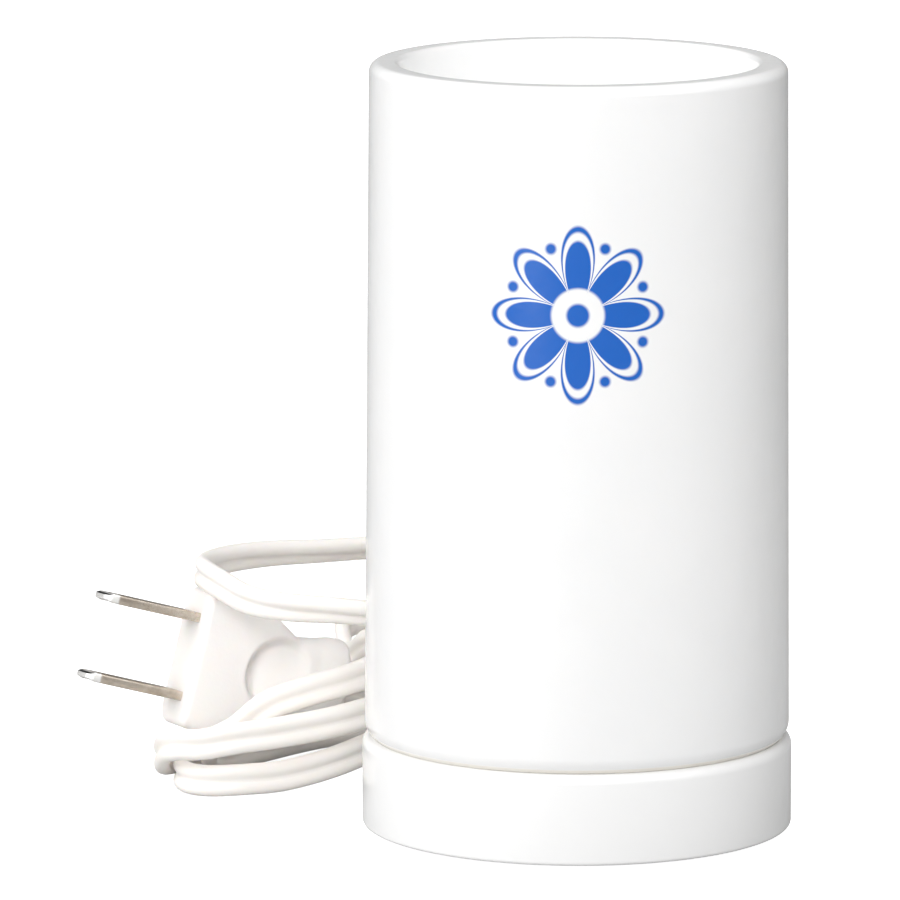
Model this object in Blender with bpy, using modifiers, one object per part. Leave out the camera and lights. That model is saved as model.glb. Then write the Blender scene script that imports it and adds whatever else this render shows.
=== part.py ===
"""Electric aroma lamp: a porcelain shade with an oil dish, its base with holder and bulb, and the lead.

Metres, +Z up. The origin is on the lamp's axis, on the surface that the feet stand on.
"""

import math

import bmesh
import bpy
import numpy as np
from mathutils import Matrix, Vector

# Clearances between pieces
FIT = 0.0003
THREAD_FIT = 0.00036
TURN_STEPS = 48
SMALL_STEPS = 24
SCREW_STEPS = 16
HOLE_STEPS = 12

# Base
BASE_RADIUS = 0.0330
BASE_HEIGHT = 0.0145
BASE_LIFT = 0.0006
BASE_WALL = 0.0024
DECK = 0.0024
BASE_TOP_ROUND = 0.0016
BASE_FOOT_ROUND = 0.0006
SPIGOT_PLAY = 0.0008
SPIGOT_WALL = 0.0022
SPIGOT_HEIGHT = 0.0040
SMALL_EDGE = 0.0005

# Porcelain shade
SHADE_SET_IN = 0.0004
SHADE_TAPER = 0.00075
SHADE_TOP = 0.1184
SHADE_FOOT_ROUND = 0.0016
RIM_ROUND = 0.0020
SHADE_FOOT_WALL = 0.0042
SHADE_HEAD_WALL = 0.00425
SHADE_INNER_ROUND = 0.0008
DISH_WALL_DEPTH = 0.0072
DISH_SAG = 0.0012
DISH_THICKNESS = 0.0040
DISH_CORNER = 0.0016
CEILING_ROUND = 0.0020

# Bottom cover, its screws and the feet
COVER_THICKNESS = 0.0014
COVER_RECESS = 0.0003
COVER_SCREW_INSET = 0.0051
COVER_SCREW_RADIUS = 0.0013
COVER_SCREW_HEAD = 0.0026
COVER_SCREW_LENGTH = 0.0080
COVER_BOSS_RADIUS = 0.0032
COVER_SCREW_AZIMUTH = 5.0
VENTS = 8
VENT_WIDTH = 0.0022
VENT_INNER = 0.0085
VENT_LENGTH = 0.0070
FOOT_INSET = 0.0096
FOOT_RADIUS = 0.0040
FOOT_POCKET = 0.0006
FOOT_EDGE = 0.0003

# Lamp holder
SOCKET_RADIUS = 0.0105
SOCKET_BORE = 0.0073
SOCKET_BOTTOM = 0.0053
SOCKET_FLOOR = 0.0030
SOCKET_TOP = 0.0240
FLANGE_THICKNESS = 0.0023
SOCKET_SCREW_AZIMUTHS = (90, 270)
SCREW_RADIUS = 0.0013
SCREW_HEAD_RADIUS = 0.0027
SCREW_HEAD_HEIGHT = 0.0014
SCREW_SLOT = 0.0006
SHELL_TOP = 0.0225
SHELL_LIP = 0.0034
SHELL_SHEET = 0.00045
STRIP_THICKNESS = 0.0005
STRIP_WIDTH = 0.0050
CENTRE_STRIP_START = -0.0020
SHELL_STRIP_START = 0.0032
TERMINAL_WIRE_ROOM = 0.0020
RIVET_HEAD_HEIGHT = 0.0007
RIVET_HEAD_RADIUS = 0.0014
CONTACT_HEAD_RADIUS = 0.0024
CONTACT_HEAD_HEIGHT = 0.0010
CONTACT_SHANK = 0.0007
SHELL_RIVET_OFFSET = 0.0045
SHELL_RIVET_HEAD = 0.00085
SHELL_RIVET_SHANK = 0.0005

# Bulb
THREAD_PITCH = 0.00254
THREAD_ROOT = 0.0053
THREAD_DEPTH = 0.00063
THREAD_ROWS = 5
CAP_WALL = 0.0004
CAP_BOTTOM = 0.0134
CAP_THREAD_TOP = 0.0222
CAP_TOP = 0.0255
CAP_COLLAR = 0.0059
CAP_LIP = 0.0010
TIP_HEAD_RADIUS = 0.0022
TIP_HEAD_HEIGHT = 0.0012
TIP_SHANK = 0.0008
INSULATOR_FOOT = 0.0034
INSULATOR_HEIGHT = 0.0019
GLASS_RADIUS = 0.0100
GLASS_NECK = 0.0045
GLASS_NECK_DROP = 0.0012
GLASS_WALL = 0.0006
GLASS_TOP = 0.0579
GLASS_SHOULDER = 0.0330
STEM_RADIUS = 0.0022
STEM_TOP = 0.0345
STEM_PINCH = 0.0030
STEM_FLARE = 0.0060
STEM_FOOT = 0.0010
SUPPORT_WIRE = 0.00025
SUPPORT_SPREAD = 0.0055
SUPPORT_BEND = 0.0020
SUPPORT_TIP = 0.0006
FILAMENT_HEIGHT = 0.0440
FILAMENT_TURNS = 9
FILAMENT_POINTS = 6
FILAMENT_COIL = 0.00055
FILAMENT_WIRE = 0.00020

# Mains flex, its relief and the clamp inside the base
FLEX_THICKNESS = 0.0025
FLEX_WAIST = 0.0019
EXIT_AZIMUTH = 65.0
EXIT_HEIGHT = 0.0075
RELIEF_LENGTH = 0.0200
RELIEF_FLANGE = 0.0023
RELIEF_GROOVES = 4
RELIEF_GROOVE_DEPTH = 0.0005
RELIEF_EDGE = 0.0004
RELIEF_END = (0.0032, 0.0019)
RELIEF_ROOT = (0.0044, 0.0031)
RELIEF_NECK = (0.0034, 0.0022)
RELIEF_COLLAR = 0.0014
CLAMP_INSET = 0.0071
CLAMP_SPREAD = 0.0065
CLAMP_BOSS_RADIUS = 0.0026
CLAMP_WIDTH = 0.0050
CLAMP_THICKNESS = 0.0017
CLAMP_SCREW_RADIUS = 0.00085
CLAMP_SCREW_HEAD = 0.0018
CLAMP_HEAD_HEIGHT = 0.0009
CORE_RADIUS = 0.00065
CORE_STEP = 0.0022
CORE_START = 0.0015
CORE_WRAP = (0.0025, -0.0012)
LIVE_PATH = dict(side=-1, terminal=1, offset=0.0008, azimuths=(46, 25))
NEUTRAL_PATH = dict(side=1, terminal=-1, offset=-0.0006, azimuths=(80, 112, 143))
INNER_FLEX_LENGTH = 0.0078

# Plug
PLUG_FACE = Vector((-0.0620, 0.0365, 0.0191))
PLUG_AXIS = Vector((0.906, 0.333, -0.272)).normalized()
PLUG_ACROSS = Vector((0.226, 0.173, 0.959))
PLUG_THICKNESS = 0.0120
PLUG_STEPS = 28
SCOOP_AT = 0.0148
SCOOP_RADIUS = 0.0065
SCOOP_DEPTH = 0.0010
SCOOP_TILT = 11.0
SCOOP_STEPS = 32
BLADE_PITCH = 0.0127
BLADE_THICKNESS = 0.0015
BLADE_WIDTH = 0.00635
BLADE_LENGTH = 0.0161
BLADE_ROOT = 0.0050
BLADE_HOLE = 0.0015
BLADE_HOLE_AT = 0.0040
BLADE_BEVEL = 0.00035

# Plug outline: distance from its face, half width, half thickness beyond the plain half, squareness
PLUG_OUTLINE = [
    (0.0000, 0.0104, -0.0006, 7.0),
    (0.0006, 0.0109, 0.0000, 7.0),
    (0.0055, 0.0116, 0.0000, 7.0),
    (0.0070, 0.0115, 0.0000, 6.5),
    (0.0085, 0.0109, 0.0000, 6.0),
    (0.0128, 0.0091, 0.0000, 5.0),
    (0.0170, 0.0066, -0.0004, 4.0),
    (0.0208, 0.0071, -0.0003, 3.0),
    (0.0230, 0.0078, 0.0004, 2.3),
    (0.0250, 0.0078, 0.0004, 2.2),
    (0.0260, 0.0068, -0.0006, 2.2),
]

# Cord: the free stretch from the relief, and the one from the plug, each on a smooth curve through its points
LEAD_BENDS = [
    (0.0264, 0.0576, 0.0082),
    (0.0276, 0.0626, 0.0104),
    (0.0274, 0.0670, 0.0142),
    (0.0256, 0.0699, 0.0188),
    (0.0224, 0.0706, 0.0232),
    (0.0186, 0.0678, 0.0266),
]
TAIL_BENDS = [
    (-0.0282, 0.0482, 0.0083),
    (-0.0220, 0.0479, 0.0049),
]
CORD_STEP = 0.0030

# Hank: each loop's centre, heading, reach to its right and left end, bulge to the far and near side,
# and height at eighths of the loop, counted from its right end by way of the far side
LOOP_POINTS = 24
LOOP_BLUNT = 0.045
LOOPS = [
    dict(
        centre=(-0.0272, 0.0525),
        heading=45.5,
        reach=(0.0420, 0.0468),
        bulge=(0.0148, 0.0130),
        height=(0.0028, 0.0028, 0.0028, 0.0028, 0.0028, 0.0032, 0.0080, 0.0058),
    ),
    dict(
        centre=(-0.0272, 0.0525),
        heading=45.5,
        reach=(0.0468, 0.0500),
        bulge=(0.0182, 0.0147),
        height=(0.0028, 0.0028, 0.0028, 0.0032, 0.0088, 0.0106, 0.0132, 0.0122),
    ),
    dict(
        centre=(-0.0272, 0.0525),
        heading=45.5,
        reach=(0.0420, 0.0410),
        bulge=(0.0112, 0.0138),
        height=(0.0096, 0.0086, 0.0030, 0.0028, 0.0082, 0.0158, 0.0218, 0.0186),
    ),
    dict(
        centre=(-0.0170, 0.0620),
        heading=18.0,
        reach=(0.0300, 0.0205),
        bulge=(0.0160, 0.0128),
        height=(0.0184, 0.0189, 0.0198, 0.0186, 0.0152, 0.0196, 0.0268, 0.0264),
    ),
    dict(
        centre=(-0.0262, 0.0485),
        heading=24.0,
        reach=(0.0280, 0.0350),
        bulge=(0.0175, 0.0199),
        height=(0.0262, 0.0288, 0.0310, 0.0322, 0.0322, 0.0292, 0.0272, 0.0274),
    ),
]
TOP_LOOP_ROLL = (0.0, -50.0, 0.0, 50.0)
HANK_START = dict(bulge=0.0095, height=0.0028)
HANK_END = dict(reach=0.0395, height=0.0288)
FIRST_STEP = -4
LAST_STEP = 118
HANK_STRAIGHT = 0.0050

# Heights and radii that follow from the sizes above
DECK_UNDER = BASE_HEIGHT - DECK
BASE_INNER = BASE_RADIUS - BASE_WALL
SHADE_FOOT_RADIUS = BASE_RADIUS - SHADE_SET_IN
SHADE_RIM_RADIUS = SHADE_FOOT_RADIUS - SHADE_TAPER
SPIGOT_RADIUS = SHADE_FOOT_RADIUS - SHADE_FOOT_WALL - SPIGOT_PLAY
COVER_SCREW_CIRCLE = BASE_INNER - COVER_SCREW_INSET
FOOT_CIRCLE = BASE_INNER - FOOT_INSET
CLAMP_CIRCLE = BASE_INNER - CLAMP_INSET
COVER_BOTTOM = BASE_LIFT + COVER_RECESS
COVER_TOP = COVER_BOTTOM + COVER_THICKNESS
SHADE_BOTTOM = BASE_HEIGHT + FIT
FLANGE_TOP = DECK_UNDER - FIT
FLANGE_BOTTOM = FLANGE_TOP - FLANGE_THICKNESS
BORE_FLOOR = SOCKET_BOTTOM + SOCKET_FLOOR
SHELL_BOTTOM = BORE_FLOOR + FIT
STRIP_LOW = SOCKET_BOTTOM - FIT
STRIP_HIGH = FLANGE_BOTTOM - FIT
STRIP_RISE = SOCKET_RADIUS + FIT
SOCKET_SCREW_CIRCLE = STRIP_RISE + SCREW_HEAD_RADIUS
TERMINAL_CIRCLE = STRIP_RISE + STRIP_THICKNESS + SCREW_HEAD_RADIUS
FLANGE_RADIUS = TERMINAL_CIRCLE + SCREW_HEAD_RADIUS + FIT
TERMINAL_HEAD_TOP = STRIP_HIGH - STRIP_THICKNESS - TERMINAL_WIRE_ROOM
CONTACT_TOP = BORE_FLOOR + FIT + CONTACT_HEAD_HEIGHT
TIP_BOTTOM = CONTACT_TOP + FIT
EXIT = Vector((math.cos(math.radians(EXIT_AZIMUTH)), math.sin(math.radians(EXIT_AZIMUTH)), 0))
EXIT_SIDE = Vector((-EXIT.y, EXIT.x, 0))
RELIEF_TIP = BASE_RADIUS + RELIEF_LENGTH
RELIEF_INNER = BASE_INNER - 3 * FIT - RELIEF_FLANGE
FLEX_WIDTH = 2 * FLEX_THICKNESS
PLUG_UP = (PLUG_ACROSS - PLUG_AXIS * PLUG_ACROSS.dot(PLUG_AXIS)).normalized()
PLUG_SIDE = PLUG_AXIS.cross(PLUG_UP)
PLUG_LENGTH = PLUG_OUTLINE[-1][0]

for old in list(bpy.data.objects):
    bpy.data.objects.remove(old, do_unlink=True)

PARTS = bpy.data.collections.new("electric_aroma_lamp")
CUTTERS = bpy.data.collections.new("cutters")
bpy.context.scene.collection.children.link(PARTS)
bpy.context.scene.collection.children.link(CUTTERS)


def material(name, colour, roughness, metallic=0.0):
    made = bpy.data.materials.new(name)
    made.use_nodes = True
    shader = made.node_tree.nodes["Principled BSDF"]
    shader.inputs["Base Color"].default_value = (*colour, 1)
    shader.inputs["Roughness"].default_value = roughness
    shader.inputs["Metallic"].default_value = metallic
    return made


PORCELAIN = material("white_porcelain", (0.93, 0.93, 0.92), 0.15)
GLOSS_WHITE = material("gloss_white_plastic", (0.92, 0.92, 0.91), 0.18)
MATT_WHITE = material("matt_white_plastic", (0.80, 0.80, 0.78), 0.5)
HEAT_WHITE = material("heatproof_plastic", (0.86, 0.84, 0.78), 0.45)
FLEX_WHITE = material("flex_pvc", (0.90, 0.88, 0.84), 0.4)
PLUG_CREAM = material("plug_pvc", (0.90, 0.84, 0.80), 0.45)
RUBBER = material("grey_rubber", (0.35, 0.35, 0.34), 0.8)
STEEL = material("plated_steel", (0.62, 0.61, 0.58), 0.3, 1.0)
BRASS = material("brass", (0.75, 0.60, 0.30), 0.3, 1.0)
NICKEL = material("nickel", (0.68, 0.66, 0.61), 0.2, 1.0)
SOLDER = material("solder", (0.60, 0.60, 0.60), 0.4, 1.0)
BLACK_GLASS = material("black_glass", (0.03, 0.03, 0.04), 0.1)
CLEAR_GLASS = material("clear_glass", (0.90, 0.93, 0.93), 0.05)
TUNGSTEN = material("tungsten", (0.35, 0.34, 0.33), 0.4, 1.0)
CORE_BLACK = material("core_black", (0.05, 0.05, 0.05), 0.45)
CORE_WHITE = material("core_white", (0.85, 0.85, 0.83), 0.45)


def place(mesh, name, surface=None, location=(0, 0, 0)):
    """A new object: a part where it has a surface, and otherwise a cutter."""
    made = bpy.data.objects.new(name, mesh)
    made.location = location
    if surface is None:
        CUTTERS.objects.link(made)
        made.hide_render = True
        made.display_type = "WIRE"
    else:
        PARTS.objects.link(made)
        made.data.materials.append(surface)
    return made


def from_bmesh(shape, name, surface=None):
    bmesh.ops.recalc_face_normals(shape, faces=shape.faces)
    mesh = bpy.data.meshes.new(name)
    shape.to_mesh(mesh)
    shape.free()
    return place(mesh, name, surface)


def boolean(target, other, operation):
    step = target.modifiers.new(other.name, "BOOLEAN")
    step.operation = operation
    step.object = other
    return target


def cut(target, *cutters):
    for cutter in cutters:
        boolean(target, cutter, "DIFFERENCE")
    return target


def fuse(target, *others):
    for other in others:
        boolean(target, other, "UNION")
    return target


def cone(name, bottom, top, low, high, at=(0, 0), surface=None, steps=SMALL_STEPS):
    """An upright cone or cylinder with its two radii and its two heights."""
    shape = bmesh.new()
    middle = Matrix.Translation((at[0], at[1], (low + high) / 2))
    bmesh.ops.create_cone(
        shape,
        cap_ends=True,
        segments=steps,
        radius1=bottom,
        radius2=top,
        depth=high - low,
        matrix=middle,
    )
    return from_bmesh(shape, name, surface)


def rod(name, radius, low, high, at=(0, 0), surface=None, steps=SMALL_STEPS):
    return cone(name, radius, radius, low, high, at, surface, steps)


def box(name, size, centre, turn=None, surface=None):
    shape = bmesh.new()
    spin = turn if turn is not None else Matrix.Identity(4)
    matrix = Matrix.Translation(centre) @ spin @ Matrix.Diagonal((*size, 1))
    bmesh.ops.create_cube(shape, size=1, matrix=matrix)
    return from_bmesh(shape, name, surface)


def about_z(degrees):
    return Matrix.Rotation(math.radians(degrees), 4, "Z")


def polar(radius, degrees):
    angle = math.radians(degrees)
    return (radius * math.cos(angle), radius * math.sin(angle))


def arc(centre, radius, start, end, count):
    """Points (x, z) along an arc, its angles in degrees from +X."""
    angles = np.radians(np.linspace(start, end, count))
    return [(centre[0] + radius * math.cos(a), centre[1] + radius * math.sin(a)) for a in angles]


def turned(name, profile, surface=None, steps=TURN_STEPS, closed=False, at=(0, 0)):
    """A profile of (radius, height) points, down the outer side first, turned about the vertical."""
    mesh = bpy.data.meshes.new(name)
    edges = [(i, i + 1) for i in range(len(profile) - 1)]
    if closed:
        edges.append((len(profile) - 1, 0))
    mesh.from_pydata([(x, 0, z) for x, z in profile], edges, [])
    made = place(mesh, name, surface, (*at, 0))
    screw = made.modifiers.new("turn", "SCREW")
    screw.steps = steps
    screw.render_steps = steps
    screw.use_merge_vertices = True
    screw.merge_threshold = 0.00001
    return made


def lofted(name, rings, surface=None):
    """A closed skin over rings of equal counts, with a flat end at each side."""
    shape = bmesh.new()
    loops = [[shape.verts.new(point) for point in ring] for ring in rings]
    for low, high in zip(loops, loops[1:]):
        for i in range(len(low)):
            j = (i + 1) % len(low)
            shape.faces.new((low[i], low[j], high[j], high[i]))
    shape.faces.new(loops[0])
    shape.faces.new(loops[-1])
    return from_bmesh(shape, name, surface)


def oval(centre, across, up, half_across, half_up, squareness, count):
    """A ring between an ellipse, at squareness 2, and a box with round corners, at 5 or more."""
    points = []
    for i in range(count):
        angle = 2 * math.pi * (i + 0.5) / count
        c, s = math.cos(angle), math.sin(angle)
        x = math.copysign(abs(c) ** (2 / squareness), c) * half_across
        y = math.copysign(abs(s) ** (2 / squareness), s) * half_up
        points.append(centre + across * x + up * y)
    return points


def thread_height(height, angle):
    """How far a right-hand thread's crest stands out here, from 0 to 1."""
    return 0.5 + 0.5 * math.cos(2 * math.pi * (height / THREAD_PITCH - angle / (2 * math.pi)))


def threaded(name, stations, surface):
    """A sleeve down its outer side and up its bore, through stations of radius, height, share and level.

    The thread's share is 0 where the wall is plain, at its level between the root at 0 and the crest at 1.
    """
    shape = bmesh.new()
    rows = []
    for radius, height, share, level in stations:
        row = []
        for i in range(SMALL_STEPS):
            angle = 2 * math.pi * i / SMALL_STEPS
            r = radius + THREAD_DEPTH * (level + share * (thread_height(height, angle) - level))
            row.append(shape.verts.new((r * math.cos(angle), r * math.sin(angle), height)))
        rows.append(row)
    for upper, lower in zip(rows, rows[1:] + rows[:1]):
        for i in range(SMALL_STEPS):
            j = (i + 1) % SMALL_STEPS
            shape.faces.new((upper[i], lower[i], lower[j], upper[j]))
    return from_bmesh(shape, name, surface)


def plain_stations(*points):
    return [(radius, height, 0, 0) for radius, height in points]


def thread_stations(radius, start, end, level):
    """Stations between two heights, whose thread fades to its plain level in half a pitch at both ends."""
    count = round(abs(end - start) / (THREAD_PITCH / THREAD_ROWS)) + 1
    fade = THREAD_PITCH / 2
    stations = []
    for height in np.linspace(start, end, count):
        share = min(1, abs(height - start) / fade, abs(height - end) / fade)
        stations.append((radius, float(height), share, level))
    return stations


def screw_with_slot(name, at, head_low, head_high, head_radii, shank_radius, shank_top, turn):
    """A screw driven from below: its head between two heights, its shank above, a slot across the head."""
    profile = [(0, shank_top)]
    profile += [(shank_radius * 0.75, shank_top)]
    profile += [(shank_radius, shank_top - shank_radius * 0.4)]
    profile += [(shank_radius, head_high)]
    profile += [(head_radii[1], head_high), (head_radii[0], head_low), (0, head_low)]
    made = turned(name, profile, STEEL, SCREW_STEPS, at=at)
    slot_depth = (head_high - head_low) * 0.45
    slot = box(
        name + "_slot",
        (3 * head_radii[0], SCREW_SLOT, 2 * slot_depth),
        (at[0], at[1], head_low),
        about_z(turn),
    )
    return cut(made, slot)


# Porcelain shade: dish, rim, wall and foot ring in one firing
def make_shade():
    dish_radius = SHADE_RIM_RADIUS - 2 * RIM_ROUND
    rim_centre = (SHADE_RIM_RADIUS - RIM_ROUND, SHADE_TOP - RIM_ROUND)
    dish_edge = SHADE_TOP - DISH_WALL_DEPTH
    floor_run = dish_radius - DISH_CORNER
    floor_edge = dish_edge - DISH_CORNER
    floor = [(floor_run * k / 4, floor_edge - DISH_SAG * (1 - (k / 4) ** 2)) for k in range(5)]
    foot = (SHADE_FOOT_RADIUS - SHADE_FOOT_ROUND, SHADE_BOTTOM + SHADE_FOOT_ROUND)
    bore_foot = SHADE_FOOT_RADIUS - SHADE_FOOT_WALL
    bore_head = SHADE_RIM_RADIUS - SHADE_HEAD_WALL
    ceiling = floor_edge - DISH_SAG - DISH_THICKNESS
    ceiling_corner = (bore_head - CEILING_ROUND, ceiling - CEILING_ROUND)
    inner_foot = (bore_foot + SHADE_INNER_ROUND, SHADE_BOTTOM + SHADE_INNER_ROUND)
    profile = floor
    profile += arc((floor_run, dish_edge), DISH_CORNER, -60, 0, 3)
    profile += arc(rim_centre, RIM_ROUND, 180, 0, 9)
    profile += arc(foot, SHADE_FOOT_ROUND, 0, -90, 4)
    profile += arc(inner_foot, SHADE_INNER_ROUND, -90, -180, 3)
    profile += arc(ceiling_corner, CEILING_ROUND, 0, 90, 3)
    profile += [(0, ceiling)]
    return turned("porcelain_shade", profile, PORCELAIN)


# Base: wall, deck, spigot ring that centres the shade, bosses for the cover and for the clamp
def make_base():
    spigot_top = BASE_HEIGHT + SPIGOT_HEIGHT
    spigot_inner = SPIGOT_RADIUS - SPIGOT_WALL
    hole = SOCKET_RADIUS + FIT
    profile = [(hole, BASE_HEIGHT), (spigot_inner, BASE_HEIGHT), (spigot_inner, spigot_top)]
    profile += [(SPIGOT_RADIUS - SMALL_EDGE, spigot_top), (SPIGOT_RADIUS, spigot_top - SMALL_EDGE)]
    profile += [(SPIGOT_RADIUS, BASE_HEIGHT)]
    top_centre = (BASE_RADIUS - BASE_TOP_ROUND, BASE_HEIGHT - BASE_TOP_ROUND)
    profile += arc(top_centre, BASE_TOP_ROUND, 90, 0, 5)
    foot_centre = (BASE_RADIUS - BASE_FOOT_ROUND, BASE_LIFT + BASE_FOOT_ROUND)
    profile += arc(foot_centre, BASE_FOOT_ROUND, 0, -90, 2)
    profile += [(BASE_INNER, BASE_LIFT), (BASE_INNER, DECK_UNDER), (hole, DECK_UNDER)]
    base = turned("lamp_base", profile, GLOSS_WHITE, closed=True)
    sunk = DECK_UNDER + DECK / 2
    for k in range(3):
        at = polar(COVER_SCREW_CIRCLE, COVER_SCREW_AZIMUTH + 120 * k)
        boss = rod(f"cover_boss_{k + 1}", COVER_BOSS_RADIUS, COVER_TOP + FIT, sunk, at, steps=SCREW_STEPS)
        hole_top = COVER_BOTTOM + COVER_SCREW_LENGTH + FIT
        hole = COVER_SCREW_RADIUS + FIT
        thread = rod(f"cover_boss_hole_{k + 1}", hole, 0, hole_top, at, steps=HOLE_STEPS)
        fuse(base, boss)
        cut(base, thread)
    flex_top = EXIT_HEIGHT + FLEX_THICKNESS / 2
    for k, side in enumerate((-1, 1)):
        spot = (EXIT * CLAMP_CIRCLE + EXIT_SIDE * CLAMP_SPREAD * side).xy
        low = EXIT_HEIGHT - FLEX_THICKNESS / 2
        boss = rod(f"clamp_boss_{k + 1}", CLAMP_BOSS_RADIUS, low, sunk, spot, steps=SCREW_STEPS)
        hole = CLAMP_SCREW_RADIUS + FIT
        thread = rod(f"clamp_boss_hole_{k + 1}", hole, 0, flex_top + 2 * FIT, spot, steps=HOLE_STEPS)
        fuse(base, boss)
        cut(base, thread)
    rib_low = flex_top + FIT
    rib = box(
        "clamp_rib",
        (CLAMP_WIDTH * 0.6, 2 * CLAMP_SPREAD, sunk - rib_low),
        (*(EXIT * CLAMP_CIRCLE).xy, (sunk + rib_low) / 2),
        about_z(EXIT_AZIMUTH),
    )
    fuse(base, rib)
    neck = box(
        "relief_hole",
        (3 * BASE_WALL, 2 * (RELIEF_NECK[0] + FIT), 2 * (RELIEF_NECK[1] + FIT)),
        (*(EXIT * (BASE_INNER + BASE_WALL / 2)).xy, EXIT_HEIGHT),
        about_z(EXIT_AZIMUTH),
    )
    cut(base, neck)
    for k, turn in enumerate(SOCKET_SCREW_AZIMUTHS):
        at = polar(SOCKET_SCREW_CIRCLE, turn)
        low = DECK_UNDER - DECK
        high = BASE_HEIGHT + DECK
        cut(base, rod(f"deck_hole_{k + 1}", SCREW_RADIUS + FIT, low, high, at, steps=HOLE_STEPS))
    return base


def make_cover():
    radius = BASE_INNER - FIT
    cover = rod("bottom_cover", radius, COVER_BOTTOM, COVER_TOP, surface=MATT_WHITE, steps=TURN_STEPS)
    for k in range(VENTS):
        turn = 360 * (k + 0.5) / VENTS
        centre = polar(VENT_INNER + VENT_LENGTH / 2, turn)
        size = (VENT_LENGTH, VENT_WIDTH, 4 * COVER_THICKNESS)
        cut(cover, box(f"vent_{k + 1}", size, (*centre, COVER_TOP), about_z(turn)))
    for k in range(3):
        at = polar(COVER_SCREW_CIRCLE, COVER_SCREW_AZIMUTH + 120 * k)
        sink = cone(
            f"cover_sink_{k + 1}",
            COVER_SCREW_HEAD + 2 * FIT,
            COVER_SCREW_RADIUS + FIT,
            COVER_BOTTOM - FIT,
            COVER_TOP - FIT,
            at,
            steps=SCREW_STEPS,
        )
        top = COVER_TOP + 2 * FIT
        hole = rod(f"cover_hole_{k + 1}", COVER_SCREW_RADIUS + FIT, 0, top, at, steps=SCREW_STEPS)
        cut(cover, sink, hole)
        screw_with_slot(
            f"cover_screw_{k + 1}",
            at,
            COVER_BOTTOM,
            COVER_TOP - 2 * FIT,
            (COVER_SCREW_HEAD, COVER_SCREW_RADIUS),
            COVER_SCREW_RADIUS,
            COVER_BOTTOM + COVER_SCREW_LENGTH,
            40 * k,
        )
        at = polar(FOOT_CIRCLE, COVER_SCREW_AZIMUTH + 60 + 120 * k)
        pocket = COVER_BOTTOM + FOOT_POCKET
        cut(cover, rod(f"foot_pocket_{k + 1}", FOOT_RADIUS + FIT, -FIT, pocket, at, steps=SCREW_STEPS))
        profile = [(0, pocket - FIT), (FOOT_RADIUS, pocket - FIT), (FOOT_RADIUS, FOOT_EDGE)]
        profile += [(FOOT_RADIUS - FOOT_EDGE, 0), (0, 0)]
        turned(f"foot_{k + 1}", profile, RUBBER, SCREW_STEPS, at=at)
    return cover


# Lamp holder: its moulded body with a flange under the deck, and what is screwed and riveted to it
def make_socket():
    profile = [(0, BORE_FLOOR), (SOCKET_BORE, BORE_FLOOR), (SOCKET_BORE, SOCKET_TOP - SMALL_EDGE)]
    profile += [(SOCKET_BORE + SMALL_EDGE, SOCKET_TOP), (SOCKET_RADIUS - SMALL_EDGE, SOCKET_TOP)]
    profile += [(SOCKET_RADIUS, SOCKET_TOP - SMALL_EDGE), (SOCKET_RADIUS, FLANGE_TOP)]
    profile += [(FLANGE_RADIUS, FLANGE_TOP), (FLANGE_RADIUS, FLANGE_BOTTOM)]
    profile += [(SOCKET_RADIUS, FLANGE_BOTTOM), (SOCKET_RADIUS, SOCKET_BOTTOM), (0, SOCKET_BOTTOM)]
    body = turned("socket_body", profile, HEAT_WHITE, SMALL_STEPS)
    top = BORE_FLOOR + FIT
    cut(body, rod("contact_hole", CONTACT_SHANK + FIT, 0, top, steps=HOLE_STEPS))
    at = (SHELL_RIVET_OFFSET, 0)
    cut(body, rod("shell_rivet_hole", SHELL_RIVET_SHANK + FIT, 0, top, at, steps=HOLE_STEPS))
    for k, turn in enumerate(SOCKET_SCREW_AZIMUTHS):
        at = polar(SOCKET_SCREW_CIRCLE, turn)
        hole = SCREW_RADIUS + FIT
        cut(body, rod(f"flange_hole_{k + 1}", hole, SOCKET_BOTTOM, DECK_UNDER, at, steps=HOLE_STEPS))
        low = BASE_HEIGHT + FIT
        high = low + SCREW_HEAD_HEIGHT
        tip = FLANGE_BOTTOM
        shoulder = low + SCREW_HEAD_HEIGHT * 0.45
        profile = [(0, high), (SCREW_HEAD_RADIUS * 0.6, high), (SCREW_HEAD_RADIUS, shoulder)]
        profile += [(SCREW_HEAD_RADIUS, low), (SCREW_RADIUS, low), (SCREW_RADIUS, tip), (0, tip)]
        screw = turned(f"socket_screw_{k + 1}", profile, STEEL, SCREW_STEPS, at=at)
        size = (3 * SCREW_HEAD_RADIUS, SCREW_SLOT, SCREW_HEAD_HEIGHT)
        cut(screw, box(f"socket_screw_slot_{k + 1}", size, (*at, high)))
    for k, side in enumerate((1, -1)):
        at = (TERMINAL_CIRCLE * side, 0)
        top = FLANGE_TOP - FIT
        cut(body, rod(f"terminal_hole_{k + 1}", SCREW_RADIUS + FIT, SOCKET_BOTTOM, top, at, steps=HOLE_STEPS))
        head_low = TERMINAL_HEAD_TOP - SCREW_HEAD_HEIGHT
        screw_with_slot(
            f"terminal_screw_{k + 1}",
            at,
            head_low,
            TERMINAL_HEAD_TOP,
            (SCREW_HEAD_RADIUS, SCREW_HEAD_RADIUS),
            SCREW_RADIUS,
            FLANGE_TOP - 2 * FIT,
            65,
        )
    return body


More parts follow.
